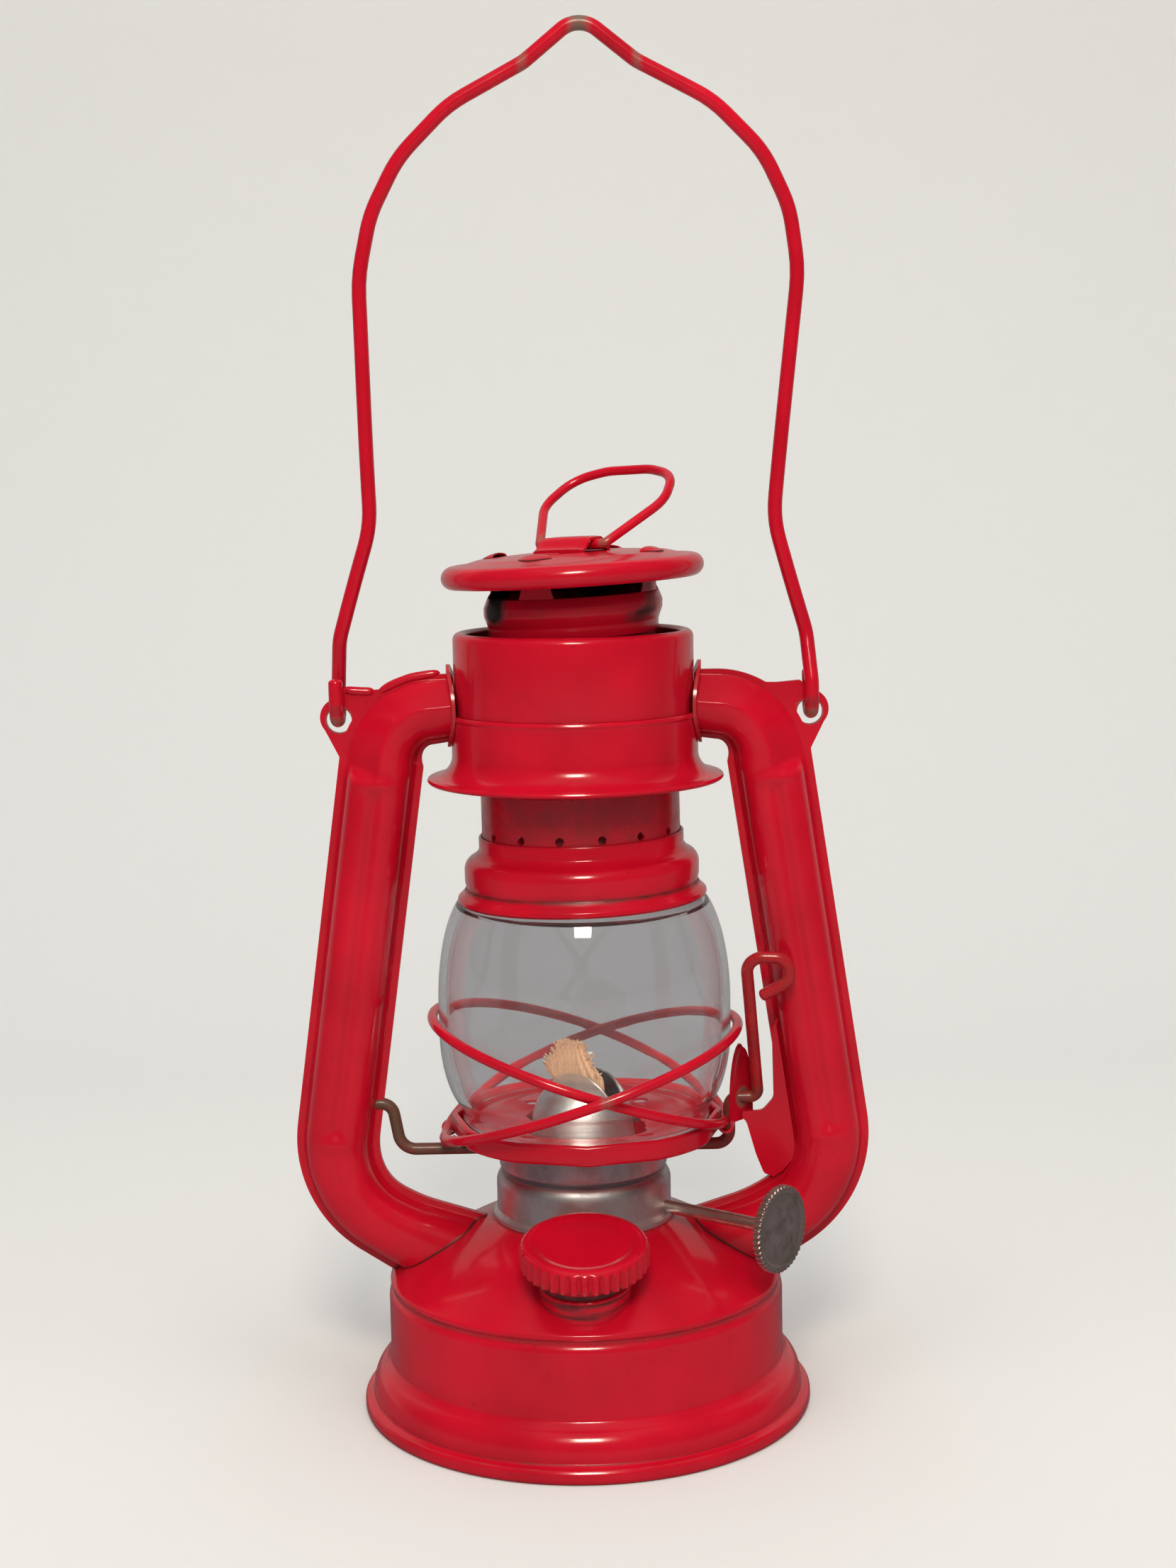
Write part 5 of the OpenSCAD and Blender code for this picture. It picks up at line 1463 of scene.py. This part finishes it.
@dataclass
class LiftCrank:
    """Crank wire with its finger lever, and the bracket that carries it."""

    wire_r: float = 1.55
    axis_z: float = 79.3
    drop: float = 12.2
    bow_r: float = 24.6
    end_x: float = -56.0
    left_x: float = -48.5
    right_x: float = 37.9
    lever_x: float = 44.0
    lever_len: float = 41.4
    lever_lean: float = 18.0
    hook_w: float = 8.4
    bracket_t: float = 1.0
    tongue_x: float = 40.55
    tongue_turn: float = -40.0

    def lever_point(self, x: float, along: float, off: float) -> tuple[float, float, float]:
        """Point along the leaning lever, off its line to the front."""
        t = math.radians(self.lever_lean)
        s, c = math.sin(t), math.cos(t)
        return (x, -along * s - off * c, self.axis_z + along * c - off * s)

    def crank(self) -> Surface:
        """One wire: left end, bow behind the burner, right journal, finger lever and its curled hook."""
        z, low, b, back = self.axis_z, self.axis_z - self.drop, self.bow_r, self.bow_r + 2.5
        x, length, w = self.lever_x, self.lever_len, self.lever_x + self.hook_w
        left, right, lever = self.left_x, self.right_x, self.lever_point
        path = [(self.end_x, 0, z), (left - 0.6, 0, z), (left + 1.6, 0, low), (-b, 0, low), (-b, back, low),
                (b, back, low), (b, 0, low), (right, 0, low), (right, 0, z), (x + 1.4, 0, z),
                lever(x - 2.2, length, 0), lever(w, length, 1), lever(w + 0.3, length - 6, 2),
                lever(x + 2.2, length - 10, 2)]
        bends = [3.4, 4.6, 2, b - 0.1, b - 0.1, 2, 3.4, 2.4, 2, 4.2, 3.6, 2.6]
        shape = wire(even(bent(path, bends, 5), 0.5), self.wire_r, 20, skew=(0.35, 0.8, -0.55))
        p = shape.points
        bare = np.where(p[:, 0] < 0, 0.8, 0.55) * (1 - ease((p[:, 2] - z - 1) / 6))
        return shape.masked(wear=bare, grime=0.6 * bare)

    def bracket(self) -> Surface:
        """Plate ruled between its notched inner edge and the tube, and a leaf-shaped tongue bent across it."""
        z0, notch = self.axis_z, self.axis_z - 3.3
        left = bent([(49.0, 58.5), (46.6, 59.4), (44.6, 64.5), (42.2, 73.2), (41.2, 74.2), (41.2, notch - 0.15),
                     (46.4, notch + 0.15), (49.3, notch + 3.4), (49.0, 97.8), (50.4, 100.3)],
                    [1.5, 6.0, 3.0, 0.6, 0.4, 2.2, 2.6, 2.0])
        right = np.interp(left[:, 1], [58.5, 60.84, 62.03, 63.45, 65.26, 100.3],
                          [49.1, 52.94, 54.18, 54.84, 54.95, 49.9])
        k = np.linspace(0, 1, 10)
        x = left[:, :1] + np.maximum(right[:, None] - left[:, :1], 0.1) * k
        plate = shell(np.stack([x, np.full_like(x, -1.9), left[:, 1:] + 0 * k], -1), self.bracket_t, (0, -1, 0))
        u = np.linspace(0, 1, 34)
        high = notch - 2.6 + u * 19.9
        point = np.sqrt(np.maximum(1 - np.maximum((u - 0.3) / 0.7, 0) ** 1.7, 0.0))
        half = 4.4 * np.minimum(1.0, 0.95 + u) * point + 0.05
        k = np.linspace(-1, 1, 15)
        dish = 0.35 * (1 - k**2) * ease(u / 0.5)[:, None]
        leaf = np.stack([-0.5 - dish, half[:, None] * k, high[:, None] + 0 * k], -1)
        across_plate = upright(self.tongue_turn, (self.tongue_x + 0.5, 0.0, 0.0))
        tongue = shell(leaf, self.bracket_t, (-1, 0, 0))
        rub = 0.7 * bell(np.hypot(tongue.points[:, 1], tongue.points[:, 2] - z0), 2.0, 1.3)
        return plate + tongue.masked(wear=rub).moved(across_plate)

    def build(self) -> None:
        """Places the crank and its bracket."""
        place("lift_crank_wire", self.crank(), WORN, "crank", "lift_crank", crease=70)
        place("lever_bracket_sheet", self.bracket(), RED, "frame", "lever_bracket", crease=50)


@dataclass
class Bail:
    """Carrying wire, hooked through the ears and bent to a peak."""

    wire_r: float = 1.82
    ear_x: float = 59.7
    pivot_z: float = 183.7
    hook_r: float = 3.9
    shoulder: float = 53.8
    peak: float = 348.6
    lean: float = 4.4

    def build(self) -> None:
        """Places the bail: one wire with mirrored halves, its paint worn at the peak and in the hooks."""
        z, w, p, h = self.pivot_z, self.shoulder, self.peak, self.hook_r
        e, low = self.ear_x, z - h - 0.8
        half = [(e, h, z + 5), (e, h, low), (e, -h, low), (e, -h, z + 3), (e - 1.0, 0, z + 15.5),
                (w - 3.4, 0, p - 121), (w + 0.5, 0, p - 60), (w - 2.2, 0, p - 45), (w - 8.9, 0, p - 31.5),
                (w - 21.4, 0, p - 19.0), (13.7, 0, p - 9.2), (0, 0, p + 1.8)]
        bends = [h - 0.1, h - 0.1, 5, 12, 30, 40, 30, 30, 30, 12]
        path = half + [(-x, -y, q) for x, y, q in half[-2::-1]]
        line = even(bent(path, bends + [7] + bends[::-1], 4), 0.6)
        line[:, 0] += self.lean * ease((line[:, 2] - z - 21) / 130)
        shape = wire(line, self.wire_r, 22, skew=(0.8, 1.0, 0.1))
        top = shape.z
        far_out = np.abs(shape.points[:, 0] - self.lean)
        worn = (0.85 * bell(far_out, 0, 3.5) + 0.6 * bell(far_out, 14.0, 2.2)) * (top > p - 20)
        hooked = 0.7 * bell(top, z - h - 1, 2.0)
        shape = shape.masked(wear=np.maximum(worn, hooked), grime=0.4 * bell(top, z - 2, 4))
        place("bail_wire", shape, RED, "bail", "bail", crease=70)


@dataclass
class Studio:
    """Pale sweep, soft lights and the camera at the photograph's angle."""

    eye: tuple[float, float, float] = (0.0031, -0.606, 0.242)
    pitch: float = 7.57
    roll: float = -1.12
    focal_px: float = 3400.0
    image_high: int = 2212
    aim: tuple[float, float, float] = (0.0, 0.0, 0.15)
    sky: float = 0.3
    sky_mirrored: float = 0.05

    def sweep(self) -> None:
        """Floor that curves up into a backdrop: a profile carried across the stage."""
        line = np.vstack([[[-3.0, 0.0], [0.35, 0.0]], arc((0.35, 0.5), 0.5, 0.5, -90, 0, 24), [[0.85, 3.0]]])
        x = np.linspace(-3, 3, 9)
        grid = np.stack([x[None] + 0 * line[:, :1], line[:, :1] + 0 * x, line[:, 1:] + 0 * x], -1)
        mesh = bpy.data.meshes.new("sweep")
        mesh.from_pydata(grid.reshape(-1, 3).tolist(), [], grid_faces(len(line), len(x), False, False).tolist())
        mesh.shade_smooth()
        mesh.materials.append(PAPER.material())
        floor = bpy.data.objects.new("sweep", mesh)
        bpy.context.scene.collection.objects.link(floor)

    def lamp(self, name: str, at: tuple, size: float, power: float, tone: str, mirrored: bool) -> None:
        """Square area lamp aimed at the lantern's middle, and whether gloss shows it."""
        data = bpy.data.lights.new(name, "AREA")
        data.size, data.energy, data.color = size, power, linear(tone)[:3]
        lamp = bpy.data.objects.new(name, data)
        lamp.location = at
        lamp.visible_glossy = lamp.visible_transmission = mirrored
        lamp.rotation_euler = (Vector(self.aim) - Vector(at)).to_track_quat("-Z", "Y").to_euler()
        bpy.context.scene.collection.objects.link(lamp)

    def camera(self) -> None:
        """Camera with the photograph's height of view, pitch and roll."""
        data = bpy.data.cameras.new("camera")
        data.sensor_fit = "VERTICAL"
        data.sensor_height = 36.0
        data.lens = data.sensor_height * self.focal_px / self.image_high
        data.dof.use_dof = False
        eye = bpy.data.objects.new("camera", data)
        tip = Euler((math.radians(90 - self.pitch), 0, 0)).to_matrix()
        turn = tip @ Euler((0, 0, math.radians(self.roll))).to_matrix()
        eye.location = self.eye
        eye.rotation_euler = turn.to_euler()
        bpy.context.scene.collection.objects.link(eye)
        bpy.context.scene.camera = eye

    def build(self) -> None:
        """Sets up the stage."""
        scene = bpy.context.scene
        scene.view_settings.view_transform = "Standard"
        world = bpy.data.worlds.new("studio")
        world.use_nodes = True
        tree = world.node_tree
        glossy = add_node(tree, "ShaderNodeLightPath").outputs["Is Glossy Ray"]
        links = {"Value": glossy, "To Min": self.sky, "To Max": self.sky_mirrored}
        level = add_node(tree, "ShaderNodeMapRange", links)
        back = tree.nodes["Background"].inputs
        back["Color"].default_value = linear("#e8ebee")
        tree.links.new(level.outputs[0], back["Strength"])
        scene.world = world
        self.sweep()
        self.lamp("key", (0.0, -1.35, 1.25), 0.4, 16.5, "#fff3e2", True)
        self.lamp("ceiling", (0.0, -0.35, 1.7), 1.5, 19, "#ffffff", False)
        self.lamp("fill", (-1.3, -0.9, 0.8), 1.0, 2.2, "#eef4ff", False)
        self.lamp("side", (1.3, -0.6, 0.9), 0.9, 2.2, "#ffffff", False)
        self.camera()


def main() -> None:
    """Builds the stage and the sub-assemblies."""
    logging.basicConfig(level=logging.INFO, format="%(name)s %(message)s")
    Studio().build()
    tank = Tank()
    tubes = [SideTube(side, tank) for side in Side]
    for part in (tank, Burner(), *tubes, Sleeve(), Canopy(), GlobeCarriage(), LiftCrank(), Bail()):
        part.build()


if __name__ == "__main__":
    main()
